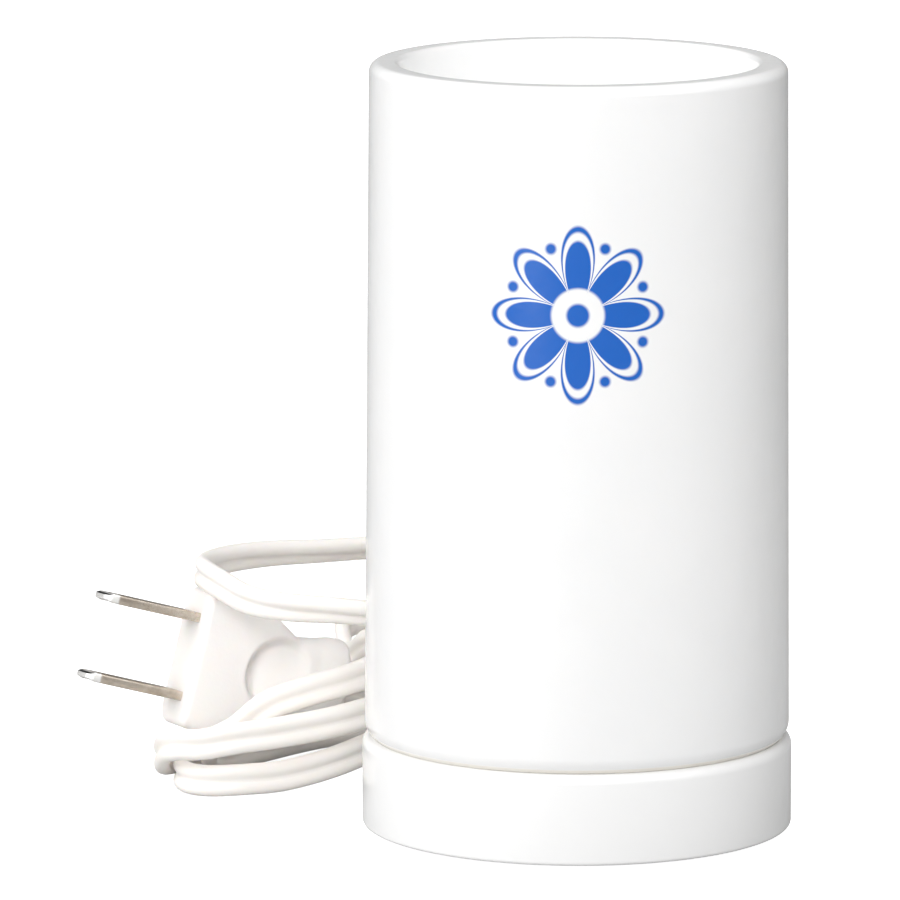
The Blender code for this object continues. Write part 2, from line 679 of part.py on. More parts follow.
def make_terminal(name, side, inner, rivet_at, rivet_shank):
    """A strip from its rivet under the holder's floor, up the wall and out under the flange to its screw."""
    t = STRIP_THICKNESS
    outline = [(inner, STRIP_LOW), (inner, STRIP_LOW - t), (STRIP_RISE + t, STRIP_LOW - t)]
    outline += [(STRIP_RISE + t, STRIP_HIGH - t), (FLANGE_RADIUS, STRIP_HIGH - t)]
    outline += [(FLANGE_RADIUS, STRIP_HIGH)]
    outline += [(STRIP_RISE, STRIP_HIGH), (STRIP_RISE, STRIP_LOW)]
    shape = bmesh.new()
    face = shape.faces.new([shape.verts.new((side * x, -STRIP_WIDTH / 2, z)) for x, z in outline])
    swept = bmesh.ops.extrude_face_region(shape, geom=[face])
    moved = [item for item in swept["geom"] if isinstance(item, bmesh.types.BMVert)]
    bmesh.ops.translate(shape, verts=moved, vec=(0, STRIP_WIDTH, 0))
    strip = from_bmesh(shape, name, BRASS)
    hole = rivet_shank + FIT
    rivet_hole = rod(name + "_rivet_hole", hole, 0, SOCKET_BOTTOM, (rivet_at, 0), steps=HOLE_STEPS)
    at = (TERMINAL_CIRCLE * side, 0)
    hole = SCREW_RADIUS + FIT
    screw_hole = rod(name + "_screw_hole", hole, SOCKET_BOTTOM + t, FLANGE_TOP, at, steps=HOLE_STEPS)
    return cut(strip, rivet_hole, screw_hole)


def make_contacts():
    make_terminal("centre_terminal", -1, CENTRE_STRIP_START, 0, CONTACT_SHANK)
    make_terminal("shell_terminal", 1, SHELL_STRIP_START, SHELL_RIVET_OFFSET, SHELL_RIVET_SHANK)
    rivet_top = STRIP_LOW - STRIP_THICKNESS - FIT
    rivet_low = rivet_top - RIVET_HEAD_HEIGHT
    low = BORE_FLOOR + FIT
    shoulder = low + CONTACT_HEAD_HEIGHT / 2
    profile = [(0, CONTACT_TOP), (CONTACT_HEAD_RADIUS * 0.7, CONTACT_TOP), (CONTACT_HEAD_RADIUS, shoulder)]
    profile += [(CONTACT_HEAD_RADIUS, low), (CONTACT_SHANK, low), (CONTACT_SHANK, rivet_top)]
    profile += [(RIVET_HEAD_RADIUS, rivet_top), (RIVET_HEAD_RADIUS, rivet_low), (0, rivet_low)]
    turned("centre_contact", profile, BRASS, SCREW_STEPS)
    head_low = SHELL_BOTTOM + SHELL_SHEET + FIT
    head_top = head_low + RIVET_HEAD_HEIGHT
    shoulder = head_low + RIVET_HEAD_HEIGHT / 2
    profile = [(0, head_top), (SHELL_RIVET_HEAD * 0.7, head_top), (SHELL_RIVET_HEAD, shoulder)]
    profile += [(SHELL_RIVET_HEAD, head_low), (SHELL_RIVET_SHANK, head_low), (SHELL_RIVET_SHANK, rivet_top)]
    profile += [(SHELL_RIVET_HEAD, rivet_top), (SHELL_RIVET_HEAD, rivet_low), (0, rivet_low)]
    turned("shell_rivet", profile, BRASS, HOLE_STEPS, at=(SHELL_RIVET_OFFSET, 0))


def make_shell():
    outer = SOCKET_BORE - THREAD_FIT
    root = THREAD_ROOT + THREAD_FIT
    low = SHELL_BOTTOM + SHELL_SHEET
    stations = plain_stations((outer, SHELL_TOP), (outer, SHELL_BOTTOM), (SHELL_LIP, SHELL_BOTTOM))
    stations += plain_stations((SHELL_LIP, low), (root + THREAD_DEPTH / 2, low))
    stations += thread_stations(root, low + THREAD_PITCH, SHELL_TOP - THREAD_PITCH / 4, 1)
    stations += plain_stations((outer - 2 * FIT, SHELL_TOP))
    shell = threaded("socket_shell", stations, BRASS)
    at = (SHELL_RIVET_OFFSET, 0)
    return cut(shell, rod("shell_lip_hole", SHELL_RIVET_SHANK + FIT, 0, low + FIT, at, steps=HOLE_STEPS))


# Bulb: its tip and insulator, the threaded cap, the glass and what it holds
def make_bulb():
    insulator_low = CAP_BOTTOM - FIT - INSULATOR_HEIGHT
    shank_top = insulator_low + INSULATOR_HEIGHT
    tip_high = TIP_BOTTOM + TIP_HEAD_HEIGHT
    profile = [(0, shank_top), (TIP_SHANK, shank_top), (TIP_SHANK, tip_high), (TIP_HEAD_RADIUS, tip_high)]
    profile += [(TIP_HEAD_RADIUS, TIP_BOTTOM + TIP_HEAD_HEIGHT / 2), (TIP_HEAD_RADIUS * 0.55, TIP_BOTTOM)]
    profile += [(0, TIP_BOTTOM)]
    turned("bulb_tip", profile, SOLDER, SCREW_STEPS)
    lip = THREAD_ROOT - CAP_WALL - CAP_LIP
    plug_radius = lip - FIT
    plug_top = CAP_BOTTOM + 3 * FIT
    bore = TIP_SHANK + FIT
    profile = [(bore, plug_top), (plug_radius, plug_top), (plug_radius, CAP_BOTTOM - FIT)]
    profile += [(THREAD_ROOT - FIT, CAP_BOTTOM - FIT), (INSULATOR_FOOT, insulator_low), (bore, insulator_low)]
    turned("bulb_insulator", profile, BLACK_GLASS, SMALL_STEPS, closed=True)
    inside = THREAD_ROOT - CAP_WALL
    neck = CAP_COLLAR - CAP_WALL
    step = CAP_THREAD_TOP + CAP_WALL
    foot = CAP_BOTTOM + CAP_WALL
    stations = plain_stations((CAP_COLLAR, CAP_TOP), (CAP_COLLAR, step + CAP_WALL))
    stations += thread_stations(THREAD_ROOT, CAP_THREAD_TOP, foot, 0)
    stations += plain_stations((THREAD_ROOT - CAP_WALL / 2, CAP_BOTTOM), (lip, CAP_BOTTOM), (lip, foot))
    stations += plain_stations((inside, foot), (inside, step), (neck, step + 2 * CAP_WALL), (neck, CAP_TOP))
    threaded("bulb_cap", stations, NICKEL)
    dome_centre = (0, GLASS_TOP - GLASS_RADIUS)
    neck_low = CAP_THREAD_TOP - GLASS_NECK_DROP
    collar_radius = CAP_COLLAR - CAP_WALL - FIT
    seat = CAP_TOP + FIT
    wall = GLASS_WALL
    half_way = (GLASS_RADIUS + collar_radius) / 2
    half_up = (GLASS_SHOULDER + seat) / 2
    outer = arc(dome_centre, GLASS_RADIUS, 90, 0, 8) + [(GLASS_RADIUS, GLASS_SHOULDER), (half_way, half_up)]
    outer += [(collar_radius, seat), (GLASS_NECK, step), (GLASS_NECK, neck_low)]
    inner = [(GLASS_NECK - wall, neck_low), (GLASS_NECK - wall, step), (collar_radius - wall, seat)]
    inner += [(half_way - wall, half_up), (GLASS_RADIUS - wall, GLASS_SHOULDER)]
    inner += arc(dome_centre, GLASS_RADIUS - wall, 0, 90, 6)
    turned("bulb_glass", outer + inner, CLEAR_GLASS, SMALL_STEPS)
    stem_low = neck_low - FIT
    stem_foot = GLASS_NECK - wall - FIT
    tube = STEM_RADIUS * 0.4
    profile = [(0, STEM_TOP), (tube, STEM_TOP), (tube, STEM_TOP - STEM_PINCH)]
    profile += [(STEM_RADIUS, STEM_TOP - STEM_FLARE), (STEM_RADIUS, seat), (stem_foot, stem_low + STEM_FOOT)]
    profile += [(stem_foot, stem_low), (0, stem_low)]
    turned("bulb_stem", profile, CLEAR_GLASS, SCREW_STEPS)


def wire(name, points, radius, surface, sides=2):
    """A round wire along straight runs between points."""
    data = bpy.data.curves.new(name, "CURVE")
    data.dimensions = "3D"
    data.bevel_depth = radius
    data.bevel_resolution = sides
    data.use_fill_caps = True
    line = data.splines.new("POLY")
    line.points.add(len(points) - 1)
    for spot, point in zip(line.points, points):
        spot.co = (*point, 1)
    return place(data, name, surface)


def make_filament():
    reach = SUPPORT_SPREAD
    half = reach - SUPPORT_WIRE - FIT - FILAMENT_WIRE
    for k, side in enumerate((-1, 1)):
        start = STEM_RADIUS + SUPPORT_WIRE + FIT
        points = [(side * start, 0, CAP_TOP), (side * start, 0, STEM_TOP - STEM_PINCH)]
        points += [(side * reach, 0, FILAMENT_HEIGHT - SUPPORT_BEND)]
        points += [(side * reach, 0, FILAMENT_HEIGHT + SUPPORT_TIP)]
        wire(f"filament_support_{k + 1}", points, SUPPORT_WIRE, NICKEL, 1)
    count = FILAMENT_TURNS * FILAMENT_POINTS
    points = []
    for i in range(count + 1):
        angle = 2 * math.pi * i / FILAMENT_POINTS
        points.append(
            (
                -half + 2 * half * i / count,
                FILAMENT_COIL * math.cos(angle),
                FILAMENT_HEIGHT + FILAMENT_COIL * math.sin(angle),
            )
        )
    wire("bulb_filament", points, FILAMENT_WIRE, TUNGSTEN, 0)


# Relief, clamp and the flex inside the base
def relief_ring(radius, half, squareness=4):
    centre = EXIT * radius + Vector((0, 0, EXIT_HEIGHT))
    return oval(centre, EXIT_SIDE, Vector((0, 0, 1)), *half, squareness, SCREW_STEPS)


def make_relief():
    wall_in = BASE_INNER - 3 * FIT
    wall_out = BASE_RADIUS + 2 * FIT
    rings = [relief_ring(RELIEF_INNER, RELIEF_ROOT), relief_ring(wall_in, RELIEF_ROOT)]
    rings += [relief_ring(wall_in, RELIEF_NECK), relief_ring(wall_out, RELIEF_NECK)]
    rings += [relief_ring(wall_out, RELIEF_ROOT), relief_ring(wall_out + RELIEF_COLLAR, RELIEF_ROOT)]
    start = wall_out + RELIEF_COLLAR
    pitch = (RELIEF_TIP - start) / RELIEF_GROOVES
    for k in range(RELIEF_GROOVES + 1):
        share = k / RELIEF_GROOVES
        inset = RELIEF_EDGE if k == 0 else 0
        half = [a + (b - a) * share - inset for a, b in zip(RELIEF_ROOT, RELIEF_END)]
        rings.append(relief_ring(start + pitch * k, half, 3))
        if k < RELIEF_GROOVES:
            groove = [h - RELIEF_GROOVE_DEPTH for h in half]
            rings.append(relief_ring(start + pitch * (k + 0.55), half, 3))
            rings.append(relief_ring(start + pitch * (k + 0.62), groove, 3))
            rings.append(relief_ring(start + pitch * (k + 0.93), groove, 3))
    return lofted("cord_relief", rings, FLEX_WHITE)


def make_clamp():
    flex_low = EXIT_HEIGHT - FLEX_THICKNESS / 2
    top = flex_low - FIT
    low = top - CLAMP_THICKNESS
    length = 2 * (CLAMP_SPREAD + CLAMP_BOSS_RADIUS)
    centre = (*(EXIT * CLAMP_CIRCLE).xy, (top + low) / 2)
    bar = box("cord_clamp", (CLAMP_WIDTH, length, CLAMP_THICKNESS), centre, about_z(EXIT_AZIMUTH), MATT_WHITE)
    for k, side in enumerate((-1, 1)):
        spot = (EXIT * CLAMP_CIRCLE + EXIT_SIDE * CLAMP_SPREAD * side).xy
        cut(bar, rod(f"clamp_hole_{k + 1}", CLAMP_SCREW_RADIUS + FIT, 0, EXIT_HEIGHT, spot, steps=HOLE_STEPS))
        head_top = low - FIT
        screw_with_slot(
            f"clamp_screw_{k + 1}",
            tuple(spot),
            head_top - CLAMP_HEAD_HEIGHT,
            head_top,
            (CLAMP_SCREW_HEAD, CLAMP_SCREW_HEAD),
            CLAMP_SCREW_RADIUS,
            EXIT_HEIGHT + FLEX_THICKNESS / 2,
            30 + 50 * k,
        )


def smooth(points, step=CORD_STEP):
    """Points at even steps along a smooth curve through these points."""
    held = np.array([tuple(p) for p in points])
    dense = []
    for i in range(len(held) - 1):
        before = held[i - 1] if i else 2 * held[0] - held[1]
        after = held[i + 2] if i + 2 < len(held) else 2 * held[-1] - held[-2]
        a, b = held[i], held[i + 1]
        for t in np.arange(0, 1, 0.05):
            bend = 2 * a + (b - before) * t + (2 * before - 5 * a + 4 * b - after) * t**2
            dense.append(0.5 * (bend + (3 * a - before - 3 * b + after) * t**3))
    dense.append(held[-1])
    dense = np.array(dense)
    run = np.concatenate([[0], np.cumsum(np.linalg.norm(np.diff(dense, axis=0), axis=1))])
    count = max(2, round(run[-1] / step) + 1)
    even = np.linspace(0, run[-1], count)
    return np.stack([np.interp(even, run, dense[:, k]) for k in range(3)], 1)


def length_of(points):
    return float(np.linalg.norm(np.diff(points, axis=0), axis=1).sum())


def flex_outline():
    """The section of a twin flex, two round ribs side by side, with its width along Y."""
    rib = FLEX_THICKNESS / 2
    points = [(FLEX_WAIST / 2, 0)]
    points += [(x, z + rib) for x, z in arc((0, 0), rib, -15, 195, 4)]
    points += [(-FLEX_WAIST / 2, 0)]
    points += [(-x, -z - rib) for x, z in arc((0, 0), rib, -15, 195, 4)]
    data = bpy.data.curves.new("flex_outline", "CURVE")
    data.dimensions = "2D"
    line = data.splines.new("POLY")
    line.points.add(len(points) - 1)
    line.use_cyclic_u = True
    for spot, (x, y) in zip(line.points, reversed(points)):
        spot.co = (x, y, 0, 1)
    made = bpy.data.objects.new("flex_outline", data)
    CUTTERS.objects.link(made)
    made.hide_render = True
    return made


def flex(name, points, rolls, outline):
    """Twin flex along the points. A roll of 0 stands it on edge, and one of 90 degrees lays it flat."""
    data = bpy.data.curves.new(name, "CURVE")
    data.dimensions = "3D"
    data.bevel_mode = "OBJECT"
    data.bevel_object = outline
    data.use_fill_caps = True
    data.twist_mode = "Z_UP"
    line = data.splines.new("POLY")
    line.points.add(len(points) - 1)
    for spot, point, roll in zip(line.points, points, rolls):
        spot.co = (*point, 1)
        spot.tilt = math.radians(roll)
    return place(data, name, FLEX_WHITE)


def between(values, position):
    """The value at a fractional position in a list, with level stops at the list's own values."""
    low = min(max(math.floor(position), 0), len(values) - 1)
    high = min(low + 1, len(values) - 1)
    share = min(max(position - low, 0), 1)
    share = (1 - math.cos(math.pi * share)) / 2
    return values[low] * (1 - share) + values[high] * share


def hank_path():
    """The hank's centre line and its roll: ovals that change centre, size and height as the turns go on."""
    reach = [value for loop in LOOPS for value in loop["reach"]] + [HANK_END["reach"]]
    bulge = [HANK_START["bulge"]] + [value for loop in LOOPS for value in loop["bulge"]]
    height = [HANK_START["height"]] * 2 + [value for loop in LOOPS for value in loop["height"]]
    height += [HANK_END["height"]]
    roll = [0.0] * 4 * (len(LOOPS) - 1) + list(TOP_LOOP_ROLL) + [0.0]
    points = []
    rolls = []
    for step in range(FIRST_STEP, LAST_STEP + 1):
        turn = step / LOOP_POINTS
        angle = 2 * math.pi * turn
        x = between([loop["centre"][0] for loop in LOOPS], turn - 0.5)
        y = between([loop["centre"][1] for loop in LOOPS], turn - 0.5)
        heading = math.radians(between([loop["heading"] for loop in LOOPS], turn - 0.5))
        long = (math.cos(angle) - LOOP_BLUNT * math.cos(3 * angle)) / (1 - LOOP_BLUNT)
        along = between(reach, 2 * turn) * long
        across = between(bulge, 2 * turn + 0.5) * math.sin(angle)
        x += along * math.cos(heading) - across * math.sin(heading)
        y += along * math.sin(heading) + across * math.cos(heading)
        points.append((x, y, between(height, 8 * turn + 2)))
        rolls.append(between(roll, 4 * turn))
    points = np.array(points)
    first = points[0] - points[1]
    last = points[-1] - points[-2]
    first *= HANK_STRAIGHT / np.linalg.norm(first)
    last *= HANK_STRAIGHT / np.linalg.norm(last)
    points = np.vstack([points[0] + first, points, points[-1] + last])
    return points, [rolls[0]] + rolls + [rolls[-1]]


def least_gap(points, rolls):
    """The least gap of the flex to itself, between its ribs at points that are further apart along it."""
    rolls = np.radians(rolls)
    fine = []
    turned_by = []
    for i in range(len(points) - 1):
        for t in (0, 0.25, 0.5, 0.75):
            fine.append(points[i] * (1 - t) + points[i + 1] * t)
            turned_by.append(rolls[i] * (1 - t) + rolls[i + 1] * t)
    fine = np.array(fine)
    ahead = np.gradient(fine, axis=0)
    ahead /= np.linalg.norm(ahead, axis=1)[:, None]
    side = np.cross(ahead, (0, 0, 1))
    side /= np.linalg.norm(side, axis=1)[:, None]
    up = np.cross(side, ahead)
    turned_by = np.array(turned_by)[:, None]
    spread = (np.cos(turned_by) * up + np.sin(turned_by) * side) * FLEX_THICKNESS / 2
    run = np.concatenate([[0], np.cumsum(np.linalg.norm(np.diff(fine, axis=0), axis=1))])
    apart = np.abs(run[:, None] - run[None]) > 3 * FLEX_WIDTH
    least = 1.0
    for one in (fine + spread, fine - spread):
        for other in (fine + spread, fine - spread):
            distance = np.linalg.norm(one[:, None] - other[None], axis=2)
            least = min(least, float(distance[apart].min()) - FLEX_THICKNESS)
    return least


def make_cord():
    outline = flex_outline()
    hank, rolls = hank_path()
    flex("cord_hank", hank, rolls, outline)
    out = (hank[-1] - hank[-2]) / np.linalg.norm(hank[-1] - hank[-2])
    back = (hank[0] - hank[1]) / np.linalg.norm(hank[0] - hank[1])
    exit_point = EXIT * (RELIEF_TIP + FIT) + Vector((0, 0, EXIT_HEIGHT))
    straight = EXIT * (RELIEF_TIP + FLEX_WIDTH) + Vector((0, 0, EXIT_HEIGHT))
    lead_end = [hank[-1] + out * (FIT + FLEX_WIDTH), hank[-1] + out * FIT]
    lead = smooth([exit_point, straight, *LEAD_BENDS, *lead_end])
    lead_rolls = np.interp(np.linspace(0, 1, len(lead)), (0, 0.1, 0.7, 1), (90, 90, 0, 0))
    flex("cord_lead", lead, lead_rolls, outline)
    rear = PLUG_FACE + PLUG_AXIS * (PLUG_LENGTH + FIT)
    tail_end = [hank[0] + back * (FIT + FLEX_WIDTH), hank[0] + back * FIT]
    tail = smooth([rear, rear + PLUG_AXIS * FLEX_WIDTH, *TAIL_BENDS, *tail_end])
    flex("cord_tail", tail, [0] * len(tail), outline)
    lengths = [length_of(points) for points in (lead, hank, tail)]
    print(f"least gap of the hank to itself: {least_gap(hank, rolls) * 1000:.2f} mm")
    print("lead, hank and tail, mm:", [round(1000 * length) for length in lengths])
    inner = [EXIT * (RELIEF_INNER - FIT), EXIT * (RELIEF_INNER - FIT - INNER_FLEX_LENGTH)]
    inner = [point + Vector((0, 0, EXIT_HEIGHT)) for point in inner]
    flex("cord_inner", inner, (90, 90), outline)
    make_core("core_live", CORE_BLACK, **LIVE_PATH)
    make_core("core_neutral", CORE_WHITE, **NEUTRAL_PATH)


def make_core(name, surface, side, terminal, offset, azimuths):
    """One insulated core from the flex's end, round the holder and past its terminal screw."""
    start = RELIEF_INNER - 2 * FIT - INNER_FLEX_LENGTH
    under = STRIP_HIGH - STRIP_THICKNESS - TERMINAL_WIRE_ROOM / 2
    beside = terminal * (TERMINAL_CIRCLE + SCREW_RADIUS + CORE_RADIUS + FIT)
    half_way = (EXIT_HEIGHT + under) / 2
    points = [EXIT * r + EXIT_SIDE * side * FLEX_THICKNESS / 2 for r in (start, start - CORE_START)]
    points = [(p.x, p.y, EXIT_HEIGHT) for p in points]
    points += [(*polar(FLANGE_RADIUS + offset, azimuth), half_way) for azimuth in azimuths]
    points += [(beside, y, under) for y in CORE_WRAP]
    wire(name, smooth(points, CORE_STEP), CORE_RADIUS, surface)


# Plug: a flat moulded body with a thumb scoop on each broad face, and two blades
def make_plug():
    rings = []
    for distance, half_width, more, squareness in PLUG_OUTLINE:
        centre = PLUG_FACE + PLUG_AXIS * distance
        thick = PLUG_THICKNESS / 2 + more
        rings.append(oval(centre, PLUG_UP, PLUG_SIDE, half_width, thick, squareness, PLUG_STEPS))
    body = lofted("plug_body", rings, PLUG_CREAM)
    axes = Matrix((PLUG_AXIS, PLUG_UP, PLUG_SIDE)).transposed().to_4x4()
    for k, side in enumerate((1, -1)):
        tilt = Matrix.Rotation(math.radians(-side * SCOOP_TILT), 4, "Y")
        height = PLUG_THICKNESS / 2
        deep = PLUG_THICKNESS / 2 - SCOOP_DEPTH
        middle = Matrix.Translation((SCOOP_AT, 0, side * (deep + height / 2)))
        shape = bmesh.new()
        bmesh.ops.create_cone(
            shape,
            cap_ends=True,
            segments=SCOOP_STEPS,
            radius1=SCOOP_RADIUS,
            radius2=SCOOP_RADIUS,
            depth=height,
            matrix=Matrix.Translation(PLUG_FACE) @ axes @ middle @ tilt,
        )
        cut(body, from_bmesh(shape, f"thumb_scoop_{k + 1}"))
    for k, side in enumerate((1, -1)):
        length = BLADE_LENGTH + BLADE_ROOT
        centre = PLUG_FACE + PLUG_AXIS * (BLADE_ROOT - length / 2) + PLUG_UP * side * BLADE_PITCH / 2
        name = f"plug_blade_{k + 1}"
        blade = box(name, (length, BLADE_THICKNESS, BLADE_WIDTH), centre, axes, NICKEL)
        bevel = blade.modifiers.new("bevel", "BEVEL")
        bevel.width = BLADE_BEVEL
        bevel.segments = 2
        shape = bmesh.new()
        at = centre - PLUG_AXIS * (length / 2 - BLADE_HOLE_AT)
        upright = Matrix.Rotation(math.radians(90), 4, "X")
        bmesh.ops.create_cone(
            shape,
            cap_ends=True,
            segments=SCREW_STEPS,
            radius1=BLADE_HOLE,
            radius2=BLADE_HOLE,
            depth=4 * BLADE_THICKNESS,
            matrix=Matrix.Translation(at) @ axes @ upright,
        )
        cut(blade, from_bmesh(shape, name + "_hole"))
        slot = (2 * (BLADE_ROOT + FIT), BLADE_THICKNESS + 2 * FIT, BLADE_WIDTH + 2 * FIT)
        cut(body, box(name + "_slot", slot, PLUG_FACE + PLUG_UP * side * BLADE_PITCH / 2, axes))
    return body


make_shade()
make_base()
make_cover()
make_socket()
make_contacts()
make_shell()
make_bulb()
make_filament()
make_relief()
make_clamp()
make_cord()
make_plug()

for made in PARTS.objects:
    if made.type == "MESH":
        made.data.shade_smooth()
        made.data.set_sharp_from_angle(angle=math.radians(35))
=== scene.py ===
# %% [markdown]
# # An electric aroma lamp, piece by piece
#
# The lamp is a porcelain cylinder that stands on a round white base. A small bulb warms
# the oil dish in the top of the porcelain. The flat cord lies behind it as a loose hank.
#
# The engineering model is loaded first, and stays as it is. Each visible piece is then
# drawn again with finer curves, or keeps its solid and gets a finish.

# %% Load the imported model
import math

import bmesh
import bpy
import numpy as np
from mathutils import Matrix, Vector


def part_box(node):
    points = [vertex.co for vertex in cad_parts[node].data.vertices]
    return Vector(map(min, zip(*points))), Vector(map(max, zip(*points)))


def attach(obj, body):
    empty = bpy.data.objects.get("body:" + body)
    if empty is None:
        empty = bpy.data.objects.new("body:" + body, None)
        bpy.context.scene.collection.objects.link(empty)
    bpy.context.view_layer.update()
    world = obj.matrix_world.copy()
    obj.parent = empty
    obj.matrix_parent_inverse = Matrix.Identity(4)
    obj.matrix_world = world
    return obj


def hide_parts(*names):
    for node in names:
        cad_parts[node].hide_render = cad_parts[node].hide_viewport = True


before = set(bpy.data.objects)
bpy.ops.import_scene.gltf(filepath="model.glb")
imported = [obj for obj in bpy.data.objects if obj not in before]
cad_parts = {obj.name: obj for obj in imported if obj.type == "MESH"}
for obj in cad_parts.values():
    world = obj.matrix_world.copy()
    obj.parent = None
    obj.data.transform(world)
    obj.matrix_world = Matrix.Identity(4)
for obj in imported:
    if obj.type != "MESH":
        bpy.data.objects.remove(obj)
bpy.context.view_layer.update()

# %% [markdown]
# ## Camera
#
# The photograph was taken with a long lens from a little above the lamp. A long lens keeps
# the sides of the cylinder almost parallel, which is why the camera stands 1.3 m away.

# %% Place the camera
CAMERA_PLACE = (0.0, -1.300, 0.283)
CAMERA_DOWN = math.radians(9.80)
CAMERA_LEFT = math.radians(0.86)
LENS_MM = 344.9
SENSOR_MM = 36.0

camera_data = bpy.data.cameras.new("photo_camera")
camera_data.lens = LENS_MM
camera_data.sensor_width = SENSOR_MM
camera_data.clip_start = 0.01
camera = bpy.data.objects.new("photo_camera", camera_data)
camera.location = CAMERA_PLACE
camera.rotation_euler = (math.pi / 2 - CAMERA_DOWN, 0, CAMERA_LEFT)
bpy.context.scene.collection.objects.link(camera)
bpy.context.scene.camera = camera
print("camera at", CAMERA_PLACE, "with a", LENS_MM, "mm lens")

# %% [markdown]
# ## Two ways to make a surface
#
# Nearly everything here is either turned, like a pot on a wheel, or swept, like dough
# through a nozzle. One helper takes a row of rings and skins it. The ends close on a
# flat face, or on a single point where a ring has shrunk to the axis.


# %% Skin a row of rings
SHARP_FROM = 38.0


def new_piece(name, mesh, finish):
    """Puts a mesh with its finish into the scene."""
    mesh.materials.append(finish)
    piece = bpy.data.objects.new(name, mesh)
    bpy.context.scene.collection.objects.link(piece)
    return piece


def as_mesh(name, shape):
    """The mesh of a finished bmesh."""
    mesh = bpy.data.meshes.new(name)
    shape.to_mesh(mesh)
    shape.free()
    return mesh


def skin(name, rings, finish, loop=False, sharp=SHARP_FROM):
    """A surface through rings of points, smooth where it turns by less than sharp degrees.

    loop joins the last ring to the first.
    """
    shape = bmesh.new()
    rows = []
    for ring in rings:
        rows.append([shape.verts.new([float(value) for value in point]) for point in ring])
    pairs = list(zip(rows, rows[1:]))
    if loop:
        pairs.append((rows[-1], rows[0]))
    for one, other in pairs:
        count = max(len(one), len(other))
        for i in range(count):
            j = (i + 1) % count
            corners = [one[i % len(one)], one[j % len(one)], other[j % len(other)], other[i % len(other)]]
            shape.faces.new(list(dict.fromkeys(corners)))
    if not loop:
        for ring in (rows[0], rows[-1]):
            if len(ring) > 2:
                shape.faces.new(ring)
    bmesh.ops.recalc_face_normals(shape, faces=shape.faces)
    mesh = as_mesh(name, shape)
    mesh.shade_smooth()
    mesh.set_sharp_from_angle(angle=math.radians(sharp))
    return new_piece(name, mesh, finish)


# %% Turn a profile about an upright axis
ON_THE_AXIS = 1e-7


def arc(centre, radius, start, end, count):
    """Points of a profile along an arc. The angles are in degrees from straight outward."""
    angles = np.radians(np.linspace(start, end, count))
    return [(centre[0] + radius * math.cos(a), centre[1] + radius * math.sin(a)) for a in angles]


def turned(name, profile, finish, steps=144, loop=False, at=(0.0, 0.0)):
    """A profile of (radius, height) points turned into a round piece."""
    rings = []
    for radius, height in profile:
        if radius < ON_THE_AXIS:
            rings.append([(at[0], at[1], height)])
            continue
        ring = []
        for i in range(steps):
            angle = 2 * math.pi * i / steps
            ring.append((at[0] + radius * math.cos(angle), at[1] + radius * math.sin(angle), height))
        rings.append(ring)
    return skin(name, rings, finish, loop)


# %% [markdown]
# ## Small effects that several finishes share
#
# Real surfaces are never one flat colour. Three effects come back in several finishes:
# a fine grain that breaks up a highlight, a slow drift in colour, and edges that are
# rubbed brighter. Each is a node group, so that a finish only sets how strong it is.


# %% Start a node group with named sockets
def effect(name, inputs, output_names):
    """A node group whose sockets all carry plain numbers."""
    group = bpy.data.node_groups.new(name, "ShaderNodeTree")
    for label, value in inputs.items():
        socket = group.interface.new_socket(name=label, in_out="INPUT", socket_type="NodeSocketFloat")
        socket.default_value = value
    for label in output_names:
        group.interface.new_socket(name=label, in_out="OUTPUT", socket_type="NodeSocketFloat")
    nodes = group.nodes
    return group, nodes.new("NodeGroupInput"), nodes.new("NodeGroupOutput")


def add(tree, kind, **settings):
    """A new node with its settings."""
    node = tree.nodes.new(kind)
    for label, value in settings.items():
        setattr(node, label, value)
    return node


# %% Feed the sockets of a node
def feed(tree, value, socket):
    """Sets a socket to a number or a colour, or links it to the output of another node."""
    if isinstance(value, bpy.types.NodeSocket):
        tree.links.new(value, socket)
    else:
        socket.default_value = value


def tune(node, **values):
    """Sets sockets to constants. An underscore stands for a space in a socket's name."""
    for label, value in values.items():
        node.inputs[label.replace("_", " ")].default_value = value


def maths(tree, operation, *values, clamp=False):
    """A Math node. A value is a number or the output of another node."""
    node = add(tree, "ShaderNodeMath", operation=operation, use_clamp=clamp)
    for socket, value in zip(node.inputs, values):
        feed(tree, value, socket)
    return node.outputs[0]


def length(tree, one, other):
    """The root of the sum of two squares."""
    squares = [maths(tree, "MULTIPLY", side, side) for side in (one, other)]
    return maths(tree, "SQRT", maths(tree, "ADD", *squares))


def ramp(tree, value, low, high):
    """A soft step from 0 at low to 1 at high."""
    node = add(tree, "ShaderNodeMapRange", interpolation_type="SMOOTHSTEP")
    tune(node, From_Min=low, From_Max=high)
    tree.links.new(value, node.inputs["Value"])
    return node.outputs["Result"]


def noise(tree, scale, detail):
    """Noise in the object's own space."""
    place = add(tree, "ShaderNodeTexCoord")
    node = add(tree, "ShaderNodeTexNoise")
    tune(node, Detail=detail)
    feed(tree, scale, node.inputs["Scale"])
    tree.links.new(place.outputs["Object"], node.inputs["Vector"])
    return node.outputs["Fac"]


# %% Fine grain: a height for the Bump node, and a value for the roughness
SMEAR_SCALE = 90
grain, grain_in, grain_out = effect(
    "fine_grain",
    {"Grain Size": 0.0005, "Roughness": 0.4, "Roughness Drift": 0.08},
    ("Height", "Roughness"),
)
grain_height = noise(grain, maths(grain, "DIVIDE", 1.0, grain_in.outputs["Grain Size"]), detail=3)
swing = maths(grain, "SUBTRACT", noise(grain, SMEAR_SCALE, detail=4), 0.5)
swing = maths(grain, "MULTIPLY", swing, grain_in.outputs["Roughness Drift"])
rough = maths(grain, "ADD", swing, grain_in.outputs["Roughness"], clamp=True)
grain.links.new(grain_height, grain_out.inputs["Height"])
grain.links.new(rough, grain_out.inputs["Roughness"])
print("made the effect", grain.name)

